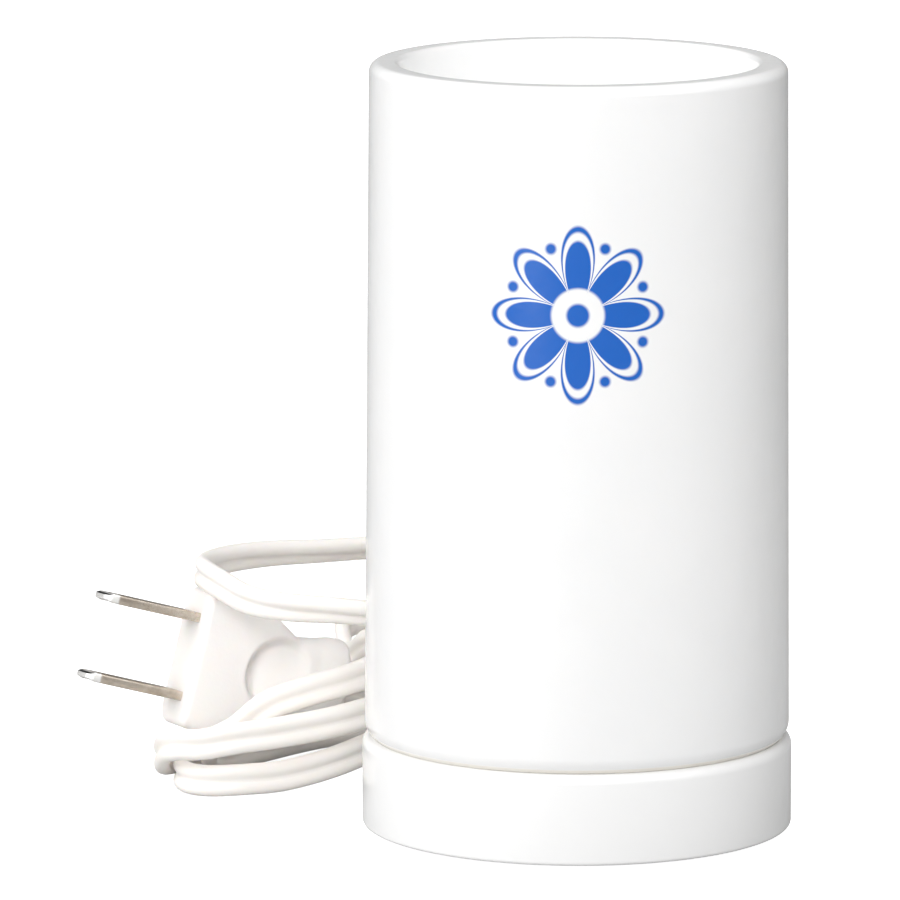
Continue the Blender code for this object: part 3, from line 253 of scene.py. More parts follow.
# %% Slow colour drift, as dye and firing leave it
drift, drift_in, drift_out = effect("colour_drift", {"Patch Size": 0.02, "Strength": 0.5}, ("Mask",))
patch_noise = noise(drift, maths(drift, "DIVIDE", 1.0, drift_in.outputs["Patch Size"]), detail=5)
patches = ramp(drift, patch_noise, low=0.35, high=0.65)
patches = maths(drift, "MULTIPLY", patches, drift_in.outputs["Strength"])
drift.links.new(patches, drift_out.inputs["Mask"])
print("made the effect", drift.name)

# %% Rubbed edges, from how sharply the surface turns
NICK_SCALE = 900
EDGE_CONTRAST = 18.0
wear, wear_in, wear_out = effect("rubbed_edges", {"Threshold": 0.52, "Strength": 1.0}, ("Mask",))
surface_facts = add(wear, "ShaderNodeNewGeometry")
edge = maths(wear, "SUBTRACT", surface_facts.outputs["Pointiness"], wear_in.outputs["Threshold"])
edge = maths(wear, "MULTIPLY", edge, EDGE_CONTRAST, clamp=True)
edge = maths(wear, "MULTIPLY", edge, noise(wear, NICK_SCALE, detail=4))
edge = maths(wear, "MULTIPLY", edge, wear_in.outputs["Strength"], clamp=True)
wear.links.new(edge, wear_out.inputs["Mask"])
print("made the effect", wear.name)

# %% [markdown]
# ## One way to put a finish together
#
# Each finish is one Principled shader. Its base colour moves between two close colours
# by the drift and the wear, its roughness comes from the grain, and a Bump node takes the
# grain's height. What is the same all over, such as a clear coat, is set on the shader.


# %% Build a finish
BUMP_DEPTH = 0.3
COAT_ROUGHNESS = 0.06


def use(tree, group, **values):
    """Places a shared effect in a material, with values of its own."""
    node = add(tree, "ShaderNodeGroup", node_tree=group)
    tune(node, **values)
    return node


def mixed(tree, share, one, other):
    """A colour between two, where a colour is three numbers or the output of another node."""
    node = add(tree, "ShaderNodeMix", data_type="RGBA")
    tree.links.new(share, node.inputs["Factor"])
    for label, colour in (("A", one), ("B", other)):
        socket = next(s for s in node.inputs if s.name == label and s.type == "RGBA")
        feed(tree, (*colour, 1) if isinstance(colour, tuple) else colour, socket)
    return next(s for s in node.outputs if s.type == "RGBA")


def shader_of(name):
    """A new material, and its node tree and Principled shader."""
    made = bpy.data.materials.new(name)
    made.use_nodes = True
    return made, made.node_tree, made.node_tree.nodes["Principled BSDF"]


def finish_of(name, colour, other, roughness, grain_size=0.0006, bump=0.08, metallic=0.0, coat=0.0,
              patch=0.02, rubbed=None):
    """A finish between two close colours. rubbed is the colour of worn edges, where it has any."""
    made, tree, shader = shader_of(name)
    tune(shader, Metallic=metallic, Coat_Weight=coat, Coat_Roughness=COAT_ROUGHNESS)
    drifting = use(tree, drift, Patch_Size=patch, Strength=1.0)
    tint = mixed(tree, drifting.outputs["Mask"], colour, other)
    if rubbed:
        worn = use(tree, wear)
        tint = mixed(tree, worn.outputs["Mask"], tint, rubbed)
    tree.links.new(tint, shader.inputs["Base Color"])
    fine = use(tree, grain, Grain_Size=grain_size, Roughness=roughness)
    tree.links.new(fine.outputs["Roughness"], shader.inputs["Roughness"])
    relief = add(tree, "ShaderNodeBump")
    tune(relief, Strength=bump, Distance=grain_size * BUMP_DEPTH)
    tree.links.new(fine.outputs["Height"], relief.inputs["Height"])
    tree.links.new(relief.outputs["Normal"], shader.inputs["Normal"])
    return made


# %% Change a finish where a mask says so, or all over
def cover(tree, shader, share, colour):
    """Lays a colour over the shader's base colour."""
    socket = shader.inputs["Base Color"]
    under = socket.links[0].from_socket
    tree.links.new(mixed(tree, share, under, colour), socket)


def roughen(tree, shader, share, more):
    """Adds to the shader's roughness."""
    socket = shader.inputs["Roughness"]
    under = socket.links[0].from_socket
    added = maths(tree, "MULTIPLY", share, more)
    tree.links.new(maths(tree, "ADD", under, added, clamp=True), socket)


def let_light_in(finish, weight, radius):
    """Lets light seep a little way in, as soft plastic and porcelain do."""
    tune(finish.node_tree.nodes["Principled BSDF"], Subsurface_Weight=weight, Subsurface_Radius=radius)


# %% [markdown]
# ## The cord
#
# The cord is flat twin flex: two round cores side by side under one white skin. It leaves
# the plug, runs in five turns that lie on one another, and goes into the base through a
# rubber relief. Each turn is an oval with its own centre, size and heights, and the cord
# slides smoothly from one oval to the next. So it is one unbroken line.

# %% Sizes of the flex, and where it leaves the lamp
FLEX_THICKNESS = 0.0025
FLEX_WIDTH = 2 * FLEX_THICKNESS
EXIT_AZIMUTH = math.radians(65.0)
EXIT_HEIGHT = 0.0075
RELIEF_TIP = 0.0530
FIT = 0.0003
outward = Vector((math.cos(EXIT_AZIMUTH), math.sin(EXIT_AZIMUTH), 0))
exit_point = outward * (RELIEF_TIP + FIT) + Vector((0, 0, EXIT_HEIGHT))
print("the flex leaves the relief at", [round(value, 4) for value in exit_point])

# %% Where the plug lies
PLUG_FACE = Vector((-0.0620, 0.0365, 0.0191))
PLUG_AXIS = Vector((0.906, 0.333, -0.272)).normalized()
PLUG_ACROSS = Vector((0.226, 0.173, 0.959))
PLUG_UP = (PLUG_ACROSS - PLUG_AXIS * PLUG_ACROSS.dot(PLUG_AXIS)).normalized()
PLUG_SIDE = PLUG_AXIS.cross(PLUG_UP)
PLUG_LENGTH = 0.0260
print("the plug's face is at", tuple(PLUG_FACE), "facing", [round(-value, 3) for value in PLUG_AXIS])

# %% The free stretches, as listed bends
LEAD_BENDS = [
    (0.0264, 0.0576, 0.0082),
    (0.0276, 0.0626, 0.0104),
    (0.0274, 0.0670, 0.0142),
    (0.0256, 0.0699, 0.0188),
    (0.0224, 0.0706, 0.0232),
    (0.0186, 0.0678, 0.0266),
]
TAIL_BENDS = [
    (-0.0282, 0.0482, 0.0083),
    (-0.0220, 0.0479, 0.0049),
]
print("the lead has", len(LEAD_BENDS), "bends and the tail", len(TAIL_BENDS))

# %% The five turns of the hank
# reach is to the right and left end, bulge to the far and near side, and height is at
# eighths of the turn, from its right end by way of the far side
LOOP_BLUNT = 0.045
LOOPS = [
    dict(
        centre=(-0.0272, 0.0525), heading=45.5, reach=(0.0420, 0.0468), bulge=(0.0148, 0.0130),
        height=(0.0028, 0.0028, 0.0028, 0.0028, 0.0028, 0.0032, 0.0080, 0.0058),
    ),
    dict(
        centre=(-0.0272, 0.0525), heading=45.5, reach=(0.0468, 0.0500), bulge=(0.0182, 0.0147),
        height=(0.0028, 0.0028, 0.0028, 0.0032, 0.0088, 0.0106, 0.0132, 0.0122),
    ),
    dict(
        centre=(-0.0272, 0.0525), heading=45.5, reach=(0.0420, 0.0410), bulge=(0.0112, 0.0138),
        height=(0.0096, 0.0086, 0.0030, 0.0028, 0.0082, 0.0158, 0.0218, 0.0186),
    ),
    dict(
        centre=(-0.0170, 0.0620), heading=18.0, reach=(0.0300, 0.0205), bulge=(0.0160, 0.0128),
        height=(0.0184, 0.0189, 0.0198, 0.0186, 0.0152, 0.0196, 0.0268, 0.0264),
    ),
    dict(
        centre=(-0.0262, 0.0485), heading=24.0, reach=(0.0280, 0.0350), bulge=(0.0175, 0.0199),
        height=(0.0262, 0.0288, 0.0310, 0.0322, 0.0322, 0.0292, 0.0272, 0.0274),
    ),
]
TOP_LOOP_ROLL = (0.0, -50.0, 0.0, 50.0)
HANK_START = dict(bulge=0.0095, height=0.0028)
HANK_END = dict(reach=0.0395, height=0.0288)
LOOP_POINTS = 24
FIRST_TURN = -4 / LOOP_POINTS
LAST_TURN = 118 / LOOP_POINTS
print("the hank has", len(LOOPS), "turns")


# %% Work out the hank's line and how far the flex has rolled on it
def between(values, position):
    """The value at a fractional place in a list, with level stops at the list's own values."""
    low = min(max(math.floor(position), 0), len(values) - 1)
    high = min(low + 1, len(values) - 1)
    share = min(max(position - low, 0), 1)
    share = (1 - math.cos(math.pi * share)) / 2
    return values[low] * (1 - share) + values[high] * share


reaches = [value for loop in LOOPS for value in loop["reach"]] + [HANK_END["reach"]]
bulges = [HANK_START["bulge"]] + [value for loop in LOOPS for value in loop["bulge"]]
heights = [HANK_START["height"]] * 2 + [value for loop in LOOPS for value in loop["height"]]
heights.append(HANK_END["height"])
hank_rolls = [0.0] * 4 * (len(LOOPS) - 1) + list(TOP_LOOP_ROLL) + [0.0]


def hank_spot(turn):
    """The point of the hank after so many turns."""
    angle = 2 * math.pi * turn
    x = between([loop["centre"][0] for loop in LOOPS], turn - 0.5)
    y = between([loop["centre"][1] for loop in LOOPS], turn - 0.5)
    heading = math.radians(between([loop["heading"] for loop in LOOPS], turn - 0.5))
    long = (math.cos(angle) - LOOP_BLUNT * math.cos(3 * angle)) / (1 - LOOP_BLUNT)
    along = between(reaches, 2 * turn) * long
    across = between(bulges, 2 * turn + 0.5) * math.sin(angle)
    x += along * math.cos(heading) - across * math.sin(heading)
    y += along * math.sin(heading) + across * math.cos(heading)
    return (x, y, between(heights, 8 * turn + 2))


hank_steps = round((LAST_TURN - FIRST_TURN) * LOOP_POINTS)
turns = [FIRST_TURN + step / LOOP_POINTS for step in range(hank_steps + 1)]
hank = np.array([hank_spot(turn) for turn in turns])
rolls = [between(hank_rolls, 4 * turn) for turn in turns]
print("the hank has", len(hank), "points")


# %% Smooth a row of points into one even line
CURVE_FRACTION = 0.02


def unit(vector):
    return vector / np.linalg.norm(vector)


def run_along(points):
    """The distance run along a line, at each of its points."""
    return np.concatenate([[0], np.cumsum(np.linalg.norm(np.diff(points, axis=0), axis=1))])


def smooth(points, step):
    """Points at even steps on a smooth curve through these points."""
    held = np.array([tuple(point) for point in points])
    dense = []
    for i in range(len(held) - 1):
        before = held[i - 1] if i else 2 * held[0] - held[1]
        after = held[i + 2] if i + 2 < len(held) else 2 * held[-1] - held[-2]
        a, b = held[i], held[i + 1]
        for t in np.arange(0, 1, CURVE_FRACTION):
            bend = 2 * a + (b - before) * t + (2 * before - 5 * a + 4 * b - after) * t**2
            dense.append(0.5 * (bend + (3 * a - before - 3 * b + after) * t**3))
    dense.append(held[-1])
    dense = np.array(dense)
    run = run_along(dense)
    count = max(2, round(run[-1] / step) + 1)
    even = np.linspace(0, run[-1], count)
    return np.stack([np.interp(even, run, dense[:, k]) for k in range(3)], 1)


# %% Join lead, hank and tail
STRAIGHT = 0.0050
CORD_STEP = 0.0011
LEAD_ROLL_PLACES = (0, 0.35, 0.9, 1)
LEAD_ROLLS = (0, 0, 90, 90)
plug_rear = np.array(PLUG_FACE + PLUG_AXIS * (PLUG_LENGTH + FIT))
hank_out = unit(hank[-1] - hank[-2])
hank_back = unit(hank[0] - hank[1])
tail = [plug_rear, plug_rear + np.array(PLUG_AXIS) * FLEX_WIDTH, *TAIL_BENDS]
tail += [hank[0] + hank_back * (STRAIGHT + FLEX_WIDTH), hank[0] + hank_back * STRAIGHT / 2]
lead = [hank[-1] + hank_out * STRAIGHT / 2, hank[-1] + hank_out * (STRAIGHT + FLEX_WIDTH)]
lead += LEAD_BENDS[::-1]
lead += [tuple(outward * (RELIEF_TIP + FLEX_WIDTH) + Vector((0, 0, EXIT_HEIGHT))), tuple(exit_point)]
route = np.vstack([tail, hank, lead])
lead_rolls = np.interp(np.linspace(0, 1, len(lead)), LEAD_ROLL_PLACES, LEAD_ROLLS)
roll_marks = np.concatenate([np.zeros(len(tail)), rolls, lead_rolls])
marks_run = run_along(route)
cord_line = smooth(route, CORD_STEP)
line_run = run_along(cord_line)
cord_rolls = np.interp(line_run / line_run[-1], marks_run / marks_run[-1], roll_marks)


# %% [markdown]
# The section is swept along that line. At each point the flex needs to know which way its
# width stands. Straight up is the start, and the roll turns it about its own line. It
# stands on edge nearly everywhere, and turns flat where it goes into the relief.

# %% Sweep the flex's section along the line
WEB_HALF = 0.00070
WEB_FILLET = 0.00022
RIB = FLEX_THICKNESS / 2
RIB_POINTS = 13
web_angle = math.degrees(math.acos((WEB_HALF + WEB_FILLET) / RIB))
half_section = [(WEB_HALF, 0.0)]
half_section += [(x, y + RIB) for x, y in arc((0, 0), RIB, -web_angle, 180 + web_angle, RIB_POINTS)]
flex_section = half_section + [(-x, -y) for x, y in half_section]


def swept(name, line, roll_degrees, section, finish):
    """A section carried along a line, and rolled about it by so many degrees at each point."""
    ahead = np.gradient(line, axis=0)
    ahead /= np.linalg.norm(ahead, axis=1)[:, None]
    side = np.cross(ahead, (0, 0, 1))
    side /= np.linalg.norm(side, axis=1)[:, None]
    up = np.cross(side, ahead)
    roll = np.radians(roll_degrees)[:, None]
    tall = np.cos(roll) * up + np.sin(roll) * side
    wide = np.cross(tall, ahead)
    rings = [[p + w * x + t * y for x, y in section] for p, w, t in zip(line, wide, tall)]
    return skin(name, rings, finish, sharp=70.0)


flex_finish = finish_of(
    "flex_pvc", (0.962, 0.925, 0.887), (0.948, 0.905, 0.863), 0.42, grain_size=0.0004, bump=0.10, patch=0.03
)
let_light_in(flex_finish, 0.25, (0.002, 0.0015, 0.001))
flex = swept("flex", cord_line, cord_rolls, flex_section, flex_finish)
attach(flex, "base")
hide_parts("cord_lead", "cord_hank", "cord_tail")
print("the flex has", len(flex.data.polygons), "faces")

# %% [markdown]
# ## The plug
#
# The plug is one soft white moulding. Its head is a flat block with rounded edges, which
# narrows to a waist and swells again where the flex goes in. A shallow scoop on each broad
# face gives the thumb a hold. A subdivided cube could be pulled into this shape, but rings
# of a rounded box, stacked along the plug, keep each width at the place where it is known.
# The scoop is then pressed into them.

# %% Rounded-box rings, with their points evenly spread
def oval_ring(centre, across, up, half_across, half_up, squareness, count):
    """squareness 2 is an ellipse, and 6 or more is a box with round corners."""
    fine = np.linspace(0, 2 * math.pi, 721)
    c, s = np.cos(fine), np.sin(fine)
    x = np.copysign(np.abs(c) ** (2 / squareness), c) * half_across
    y = np.copysign(np.abs(s) ** (2 / squareness), s) * half_up
    run = np.concatenate([[0], np.cumsum(np.hypot(np.diff(x), np.diff(y)))])
    even = (np.arange(count) + 0.5) / count * run[-1]
    spread = zip(np.interp(even, run, x), np.interp(even, run, y))
    return [Vector(centre) + Vector(across) * float(a) + Vector(up) * float(b) for a, b in spread]


def soft_step(value, low, high):
    """A soft step from 0 at low to 1 at high, as a number."""
    share = min(max((value - low) / (high - low), 0.0), 1.0)
    return share * share * (3 - 2 * share)


# %% Widths and thicknesses along the plug, from its face to where the flex goes in
PLUG_OUTLINE = [
    (0.0000, 0.0109, 0.0060, 7.0),
    (0.0055, 0.0116, 0.0060, 7.0),
    (0.0070, 0.0115, 0.0060, 6.5),
    (0.0085, 0.0109, 0.0060, 6.0),
    (0.0128, 0.0091, 0.0060, 5.0),
    (0.0170, 0.0066, 0.0056, 4.0),
    (0.0208, 0.0071, 0.0057, 3.0),
    (0.0230, 0.0078, 0.0064, 2.3),
    (0.0260, 0.0078, 0.0064, 2.2),
]
PLUG_EASE = 0.0006
PLUG_EDGE = 0.0011
PLUG_REAR_EDGE = 0.0012
PLUG_RINGS = 90
PLUG_ROUND_POINTS = 150
SCOOP_AT = 0.0148
SCOOP_RADIUS = 0.0065
SCOOP_DEPTH = 0.0030
SCOOP_WALL = 0.0017
SCOOP_RISE = 1.5
SCOOP_FACE = (0.55, 0.92)


def plug_section(s):
    """Half width, half thickness and squareness at a distance along the plug, with its corners eased."""
    near = np.linspace(s - PLUG_EASE, s + PLUG_EASE, 7)
    distances, *columns = zip(*PLUG_OUTLINE)
    width, thickness, square = (np.interp(near, distances, column).mean() for column in columns)
    inset = 0.0
    for distance, edge in ((s, PLUG_EDGE), (PLUG_LENGTH - s, PLUG_REAR_EDGE)):
        if distance < edge:
            inset += edge - math.sqrt(edge**2 - (edge - distance) ** 2)
    return width - inset, thickness - inset, square


def scoop_depth(s, across):
    """How deep the thumb scoop is: a steep wall toward the head, and a floor that rises to the rear."""
    reach = math.hypot(s - SCOOP_AT, across)
    floor = SCOOP_DEPTH / 2 * (1 - SCOOP_RISE * (s - SCOOP_AT) / SCOOP_RADIUS)
    return max(floor, 0) * (1 - soft_step(reach, SCOOP_RADIUS - SCOOP_WALL, SCOOP_RADIUS))


# %% Stack the plug's rings and press in the scoops
RING_CROWDING = 1.6
ends = np.linspace(0, 1, 9) ** RING_CROWDING
marks = list(ends * PLUG_EDGE)
marks += list(np.linspace(PLUG_EDGE, PLUG_LENGTH - PLUG_REAR_EDGE, PLUG_RINGS)[1:])
marks += list(PLUG_LENGTH - ends[::-1] * PLUG_REAR_EDGE)[1:]
plug_rings = []
for s in marks:
    half_wide, half_thick, square = plug_section(s)
    flat = oval_ring((0, 0, 0), (1, 0, 0), (0, 1, 0), half_wide, half_thick, square, PLUG_ROUND_POINTS)
    ring = []
    for point in flat:
        flatness = soft_step(abs(point.y) / half_thick, *SCOOP_FACE)
        pressed = point.y - math.copysign(scoop_depth(s, point.x) * flatness, point.y)
        ring.append(PLUG_FACE + PLUG_AXIS * float(s) + PLUG_UP * point.x + PLUG_SIDE * pressed)
    plug_rings.append(ring)
plug_finish = finish_of(
    "plug_pvc", (0.990, 0.960, 0.935), (0.98, 0.94, 0.91), 0.45, grain_size=0.0005, bump=0.12, patch=0.012
)
let_light_in(plug_finish, 0.3, (0.003, 0.002, 0.0015))
plug = skin("plug", plug_rings, plug_finish, sharp=50.0)
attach(plug, "base")
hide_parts("plug_body")
print("the plug body has", len(plug.data.polygons), "faces")

# %% [markdown]
# The blades are nickel-plated strips with a tapered tip and a hole near it. A flat outline
# with a hole in it is easiest as a filled curve, whose bevel rounds every edge at once.
#
# Each tip is pressed thinner than the rest. A painted highlight makes the metal paler near the tip,
# and a painted shade darkens the upper face of its last part. Both are masks along the blade, laid over its
# finish.

# %% A flat plate from outlines
MERGE_DISTANCE = 1e-6


def plate(name, outlines, half_thickness, edge, finish):
    """Outlines are lists of (x, y). The first is the outside, and the others are holes."""
    curve = bpy.data.curves.new(name, "CURVE")
    curve.dimensions = "2D"
    curve.fill_mode = "BOTH"
    curve.extrude = half_thickness - edge
    curve.bevel_depth = edge
    curve.bevel_resolution = 2
    curve.offset = -edge
    for outline in outlines:
        line = curve.splines.new("POLY")
        line.points.add(len(outline) - 1)
        line.use_cyclic_u = True
        for spot, (x, y) in zip(line.points, outline):
            spot.co = (x, y, 0, 1)
    draft = bpy.data.objects.new(name + "_draft", curve)
    bpy.context.scene.collection.objects.link(draft)
    made = bpy.data.meshes.new_from_object(draft.evaluated_get(bpy.context.evaluated_depsgraph_get()))
    bpy.data.objects.remove(draft, do_unlink=True)
    made.name = name
    shape = bmesh.new()
    shape.from_mesh(made)
    bmesh.ops.remove_doubles(shape, verts=shape.verts, dist=MERGE_DISTANCE)
    bmesh.ops.recalc_face_normals(shape, faces=shape.faces)
    shape.to_mesh(made)
    shape.free()
    made.materials.clear()
    made.shade_smooth()
    made.set_sharp_from_angle(angle=math.radians(40))
    return new_piece(name, made, finish)


# %% The blades' metal
BLADE_LENGTH = 0.0161
# Painted highlight on each tip: its run, soft edge and pale colour, with some added roughness
HIGHLIGHT_RUN = 0.0023
HIGHLIGHT_BLEND = 0.0002
PAINTED_TIP_HIGHLIGHT = (0.95, 0.94, 0.92)
TIP_ROUGHER = 0.2
# Painted shade on the upper face of each tip: its run and its dark colour
TIP_SHADE_RUN = 0.0013
PAINTED_TIP_SHADE = (0.03, 0.03, 0.03)
UPPER_SLOPE = 3.0
UPPER_SHIFT = -0.6
blade_finish = finish_of(
    "blade_nickel", (0.52, 0.43, 0.33), (0.42, 0.34, 0.255), 0.28, grain_size=0.0003, bump=0.06,
    metallic=1.0, patch=0.003, rubbed=(0.87, 0.79, 0.70)
)
tree = blade_finish.node_tree
shader = tree.nodes["Principled BSDF"]
place = add(tree, "ShaderNodeTexCoord")


def measured_along(vector, axis):
    """How far a vector of the blade's finish reaches along an axis."""
    node = add(tree, "ShaderNodeVectorMath", operation="DOT_PRODUCT")
    node.inputs[1].default_value = axis
    tree.links.new(vector, node.inputs[0])
    return node.outputs["Value"]


along = measured_along(place.outputs["Object"], -PLUG_AXIS)
tip_end = -PLUG_FACE.dot(PLUG_AXIS) + BLADE_LENGTH
tip_start = tip_end - HIGHLIGHT_RUN
# Painted highlight: a pale band over the last stretch of each tip, which is also made rougher
highlight_and_rough_tip = ramp(tree, along, tip_start - HIGHLIGHT_BLEND, tip_start + HIGHLIGHT_BLEND)
cover(tree, shader, highlight_and_rough_tip, PAINTED_TIP_HIGHLIGHT)
roughen(tree, shader, highlight_and_rough_tip, TIP_ROUGHER)
upper = measured_along(place.outputs["Normal"], PLUG_UP)
upper = maths(tree, "MULTIPLY_ADD", upper, UPPER_SLOPE, UPPER_SHIFT, clamp=True)
# Painted shade: the upper face of the last part of each tip is darkened
last = ramp(tree, along, tip_end - TIP_SHADE_RUN, tip_end - TIP_SHADE_RUN / 2)
cover(tree, shader, maths(tree, "MULTIPLY", upper, last), PAINTED_TIP_SHADE)
# The length printed is the run of the painted highlight
print("the tips are pressed over their last", round(1000 * HIGHLIGHT_RUN, 1), "mm")

# %% The two blades
BLADE_PITCH = 0.0127
BLADE_THICKNESS = 0.0015
BLADE_WIDTH = 0.00635
BLADE_ROOT = 0.0050
BLADE_CORNER = 0.0013
BLADE_EDGE = 0.00028
BLADE_HOLE = 0.0015
BLADE_HOLE_AT = 0.0040
TAPER_RUN = 0.0014
TAPER = 0.4
half = BLADE_WIDTH / 2
outline = arc((BLADE_LENGTH - BLADE_CORNER, half - BLADE_CORNER), BLADE_CORNER, 90, 0, 6)
outline += arc((BLADE_LENGTH - BLADE_CORNER, BLADE_CORNER - half), BLADE_CORNER, 0, -90, 6)
outline += [(-BLADE_ROOT, -half), (-BLADE_ROOT, half)]
hole = arc((BLADE_LENGTH - BLADE_HOLE_AT, 0), BLADE_HOLE, 0, 345, 24)
axes = Matrix((-PLUG_AXIS, PLUG_SIDE, PLUG_UP)).transposed().to_4x4()
for number, side in ((1, 1), (2, -1)):
    blade = plate(f"blade_{number}", [outline, hole], BLADE_THICKNESS / 2, BLADE_EDGE, blade_finish)
    for spot in blade.data.vertices:
        spot.co.z *= 1 - TAPER * soft_step(spot.co.x, BLADE_LENGTH - TAPER_RUN, BLADE_LENGTH)
    root = PLUG_FACE + PLUG_UP * side * BLADE_PITCH / 2
    blade.data.transform(Matrix.Translation(root) @ axes)
    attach(blade, "base")
    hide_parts(f"plug_blade_{number}")

# %% [markdown]
# ## The strain relief
#
# A ribbed sleeve keeps the flex from kinking where it leaves the base. Its section is a
# rounded box that tapers, and every groove is a short run of narrower rings. A bump in the
# finish would be less work, but it would not show in the sleeve's outline.

# %% The relief's sizes, and one of its rings
BASE_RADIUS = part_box("lamp_base")[1][0]
BASE_WALL = 0.0024
RELIEF_END = (0.0032, 0.0019)
RELIEF_ROOT = (0.0044, 0.0031)
RELIEF_NECK = (0.0034, 0.0022)
RELIEF_FLANGE = 0.0023
RELIEF_COLLAR = 0.0014
RELIEF_EDGE = 0.0004
RELIEF_SLACK = 0.0001
RELIEF_SQUARENESS = 3.2
RELIEF_RINGS = 81
RELIEF_POINTS = 48
GROOVES = 4
GROOVE_DEPTH = 0.0005
GROOVE_OPENS = (0.52, 0.62)
GROOVE_CLOSES = (0.90, 1.0)


def relief_ring(radius, half, inset=0.0):
    """A ring of the relief, at this distance from the lamp's axis."""
    centre = outward * float(radius) + Vector((0, 0, EXIT_HEIGHT))
    across = Vector((-outward.y, outward.x, 0))
    wide, tall = half[0] - inset, half[1] - inset
    return oval_ring(centre, across, (0, 0, 1), wide, tall, RELIEF_SQUARENESS, RELIEF_POINTS)


print("the relief gets", GROOVES, "grooves")

# %% Stack the relief's rings
wall_in = BASE_RADIUS - BASE_WALL - 3 * FIT
wall_out = BASE_RADIUS + 2 * FIT
taper_start = wall_out + RELIEF_COLLAR
rings = [relief_ring(wall_in - RELIEF_FLANGE, RELIEF_ROOT), relief_ring(wall_in, RELIEF_ROOT)]
rings += [relief_ring(wall_in, RELIEF_NECK), relief_ring(wall_out, RELIEF_NECK)]
for angle in np.radians(np.linspace(0, 90, 4)):
    radius = wall_out + RELIEF_EDGE * (1 - math.cos(angle))
    rings.append(relief_ring(radius, RELIEF_ROOT, RELIEF_EDGE * (1 - math.sin(angle))))
rings += [relief_ring(taper_start, RELIEF_ROOT), relief_ring(taper_start, RELIEF_ROOT, RELIEF_EDGE)]
for s in np.linspace(0, 1, RELIEF_RINGS)[1:]:
    half = [a + (b - a) * s for a, b in zip(RELIEF_ROOT, RELIEF_END)]
    within = (s * GROOVES) % 1
    groove = soft_step(within, *GROOVE_OPENS) * (1 - soft_step(within, *GROOVE_CLOSES)) * GROOVE_DEPTH
    rings.append(relief_ring(taper_start + (RELIEF_TIP - taper_start) * s, half, groove + RELIEF_SLACK))
rings.append(relief_ring(RELIEF_TIP, RELIEF_END, RELIEF_EDGE))
relief = skin("relief", rings, flex_finish, sharp=45.0)
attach(relief, "base")
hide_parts("cord_relief")
print("the relief is stacked from", len(rings), "rings")

# %% [markdown]
# ## The printed ornament
#
# A blue ornament is fired into the glaze on the front. It is drawn with sums, not with a
# picture, so it stays sharp at any distance: the surface is unrolled round the lamp's axis,
# and each spot gets its distance from the ornament's middle and its angle round it. Eight
# petals follow the cosine of four times that angle, taken without its sign, and small dots
# stand between them.

# %% Unroll the wall round the ornament's middle
ORNAMENT_HEIGHT = 0.0843
ORNAMENT_RADIUS = 0.0135
SHADE_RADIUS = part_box("porcelain_shade")[1][0]
ornament, ornament_in, ornament_out = effect(
    "petal_ornament",
    {"Radius": ORNAMENT_RADIUS, "Height": ORNAMENT_HEIGHT, "Wall Radius": SHADE_RADIUS},
    ("Ink",),
)


def calc(operation, *values):
    """A Math node in the ornament's group."""
    return maths(ornament, operation, *values)


place = add(ornament, "ShaderNodeTexCoord")
axes = add(ornament, "ShaderNodeSeparateXYZ")
ornament.links.new(place.outputs["Object"], axes.inputs["Vector"])
x, y, z = axes.outputs
across = calc("ARCTAN2", x, calc("MULTIPLY", y, -1.0))
across = calc("MULTIPLY", across, ornament_in.outputs["Wall Radius"])
across = calc("DIVIDE", across, ornament_in.outputs["Radius"])
above = calc("SUBTRACT", z, ornament_in.outputs["Height"])
above = calc("DIVIDE", above, ornament_in.outputs["Radius"])
reach = length(ornament, across, above)
bearing = calc("ARCTAN2", above, across)
print("the ornament is", round(2000 * ORNAMENT_RADIUS, 1), "mm across")

# %% Petals with an outline and a filled core, round an eye
PETALS = 8
PETAL_FULLNESS = 0.75
PETAL_LENGTH = 0.66
PETAL_FOOT = 0.30
OUTLINE_HALF = 0.035
CORE_INSET = 0.13
EYE_OPENING = 0.30
EYE_RADIUS = 0.13
INK_SOFTNESS = 0.022


def ink_edge(value):
    """1 where value is above 0, with a soft edge that keeps the print from looking cut out."""
    return ramp(ornament, value, -INK_SOFTNESS, INK_SOFTNESS)


lobes = calc("ABSOLUTE", calc("COSINE", calc("MULTIPLY", bearing, PETALS / 2)))
lobes = calc("POWER", lobes, PETAL_FULLNESS)
inside = calc("SUBTRACT", calc("ADD", calc("MULTIPLY", lobes, PETAL_LENGTH), PETAL_FOOT), reach)
outline_ink = ink_edge(calc("SUBTRACT", OUTLINE_HALF, calc("ABSOLUTE", inside)))
core_ink = ink_edge(calc("SUBTRACT", inside, CORE_INSET))
core_ink = calc("MULTIPLY", core_ink, ink_edge(calc("SUBTRACT", reach, EYE_OPENING)))
eye_ink = ink_edge(calc("SUBTRACT", EYE_RADIUS, reach))
print("drew", PETALS, "petals")

# %% Dots between the petals, and the mask's two limits
DOT_PLACE = 0.80
DOT_RADIUS = 0.062
OUTER_FACE = 0.0300
ORNAMENT_LIMIT = 1.2
petal_turn = 2 * math.pi / PETALS
folded = calc("PINGPONG", calc("ADD", bearing, 4 * math.pi), petal_turn / 2)
aside = calc("SUBTRACT", petal_turn / 2, folded)
dot_along = calc("SUBTRACT", calc("MULTIPLY", reach, calc("COSINE", aside)), DOT_PLACE)
dot_aside = calc("MULTIPLY", reach, calc("SINE", aside))
dot_ink = ink_edge(calc("SUBTRACT", DOT_RADIUS, length(ornament, dot_along, dot_aside)))
ink = outline_ink
for more in (core_ink, eye_ink, dot_ink):
    ink = calc("MAXIMUM", ink, more)
outer_side = calc("GREATER_THAN", length(ornament, x, y), OUTER_FACE)
front_side = calc("LESS_THAN", reach, ORNAMENT_LIMIT)
ink = calc("MULTIPLY", ink, calc("MULTIPLY", outer_side, front_side))
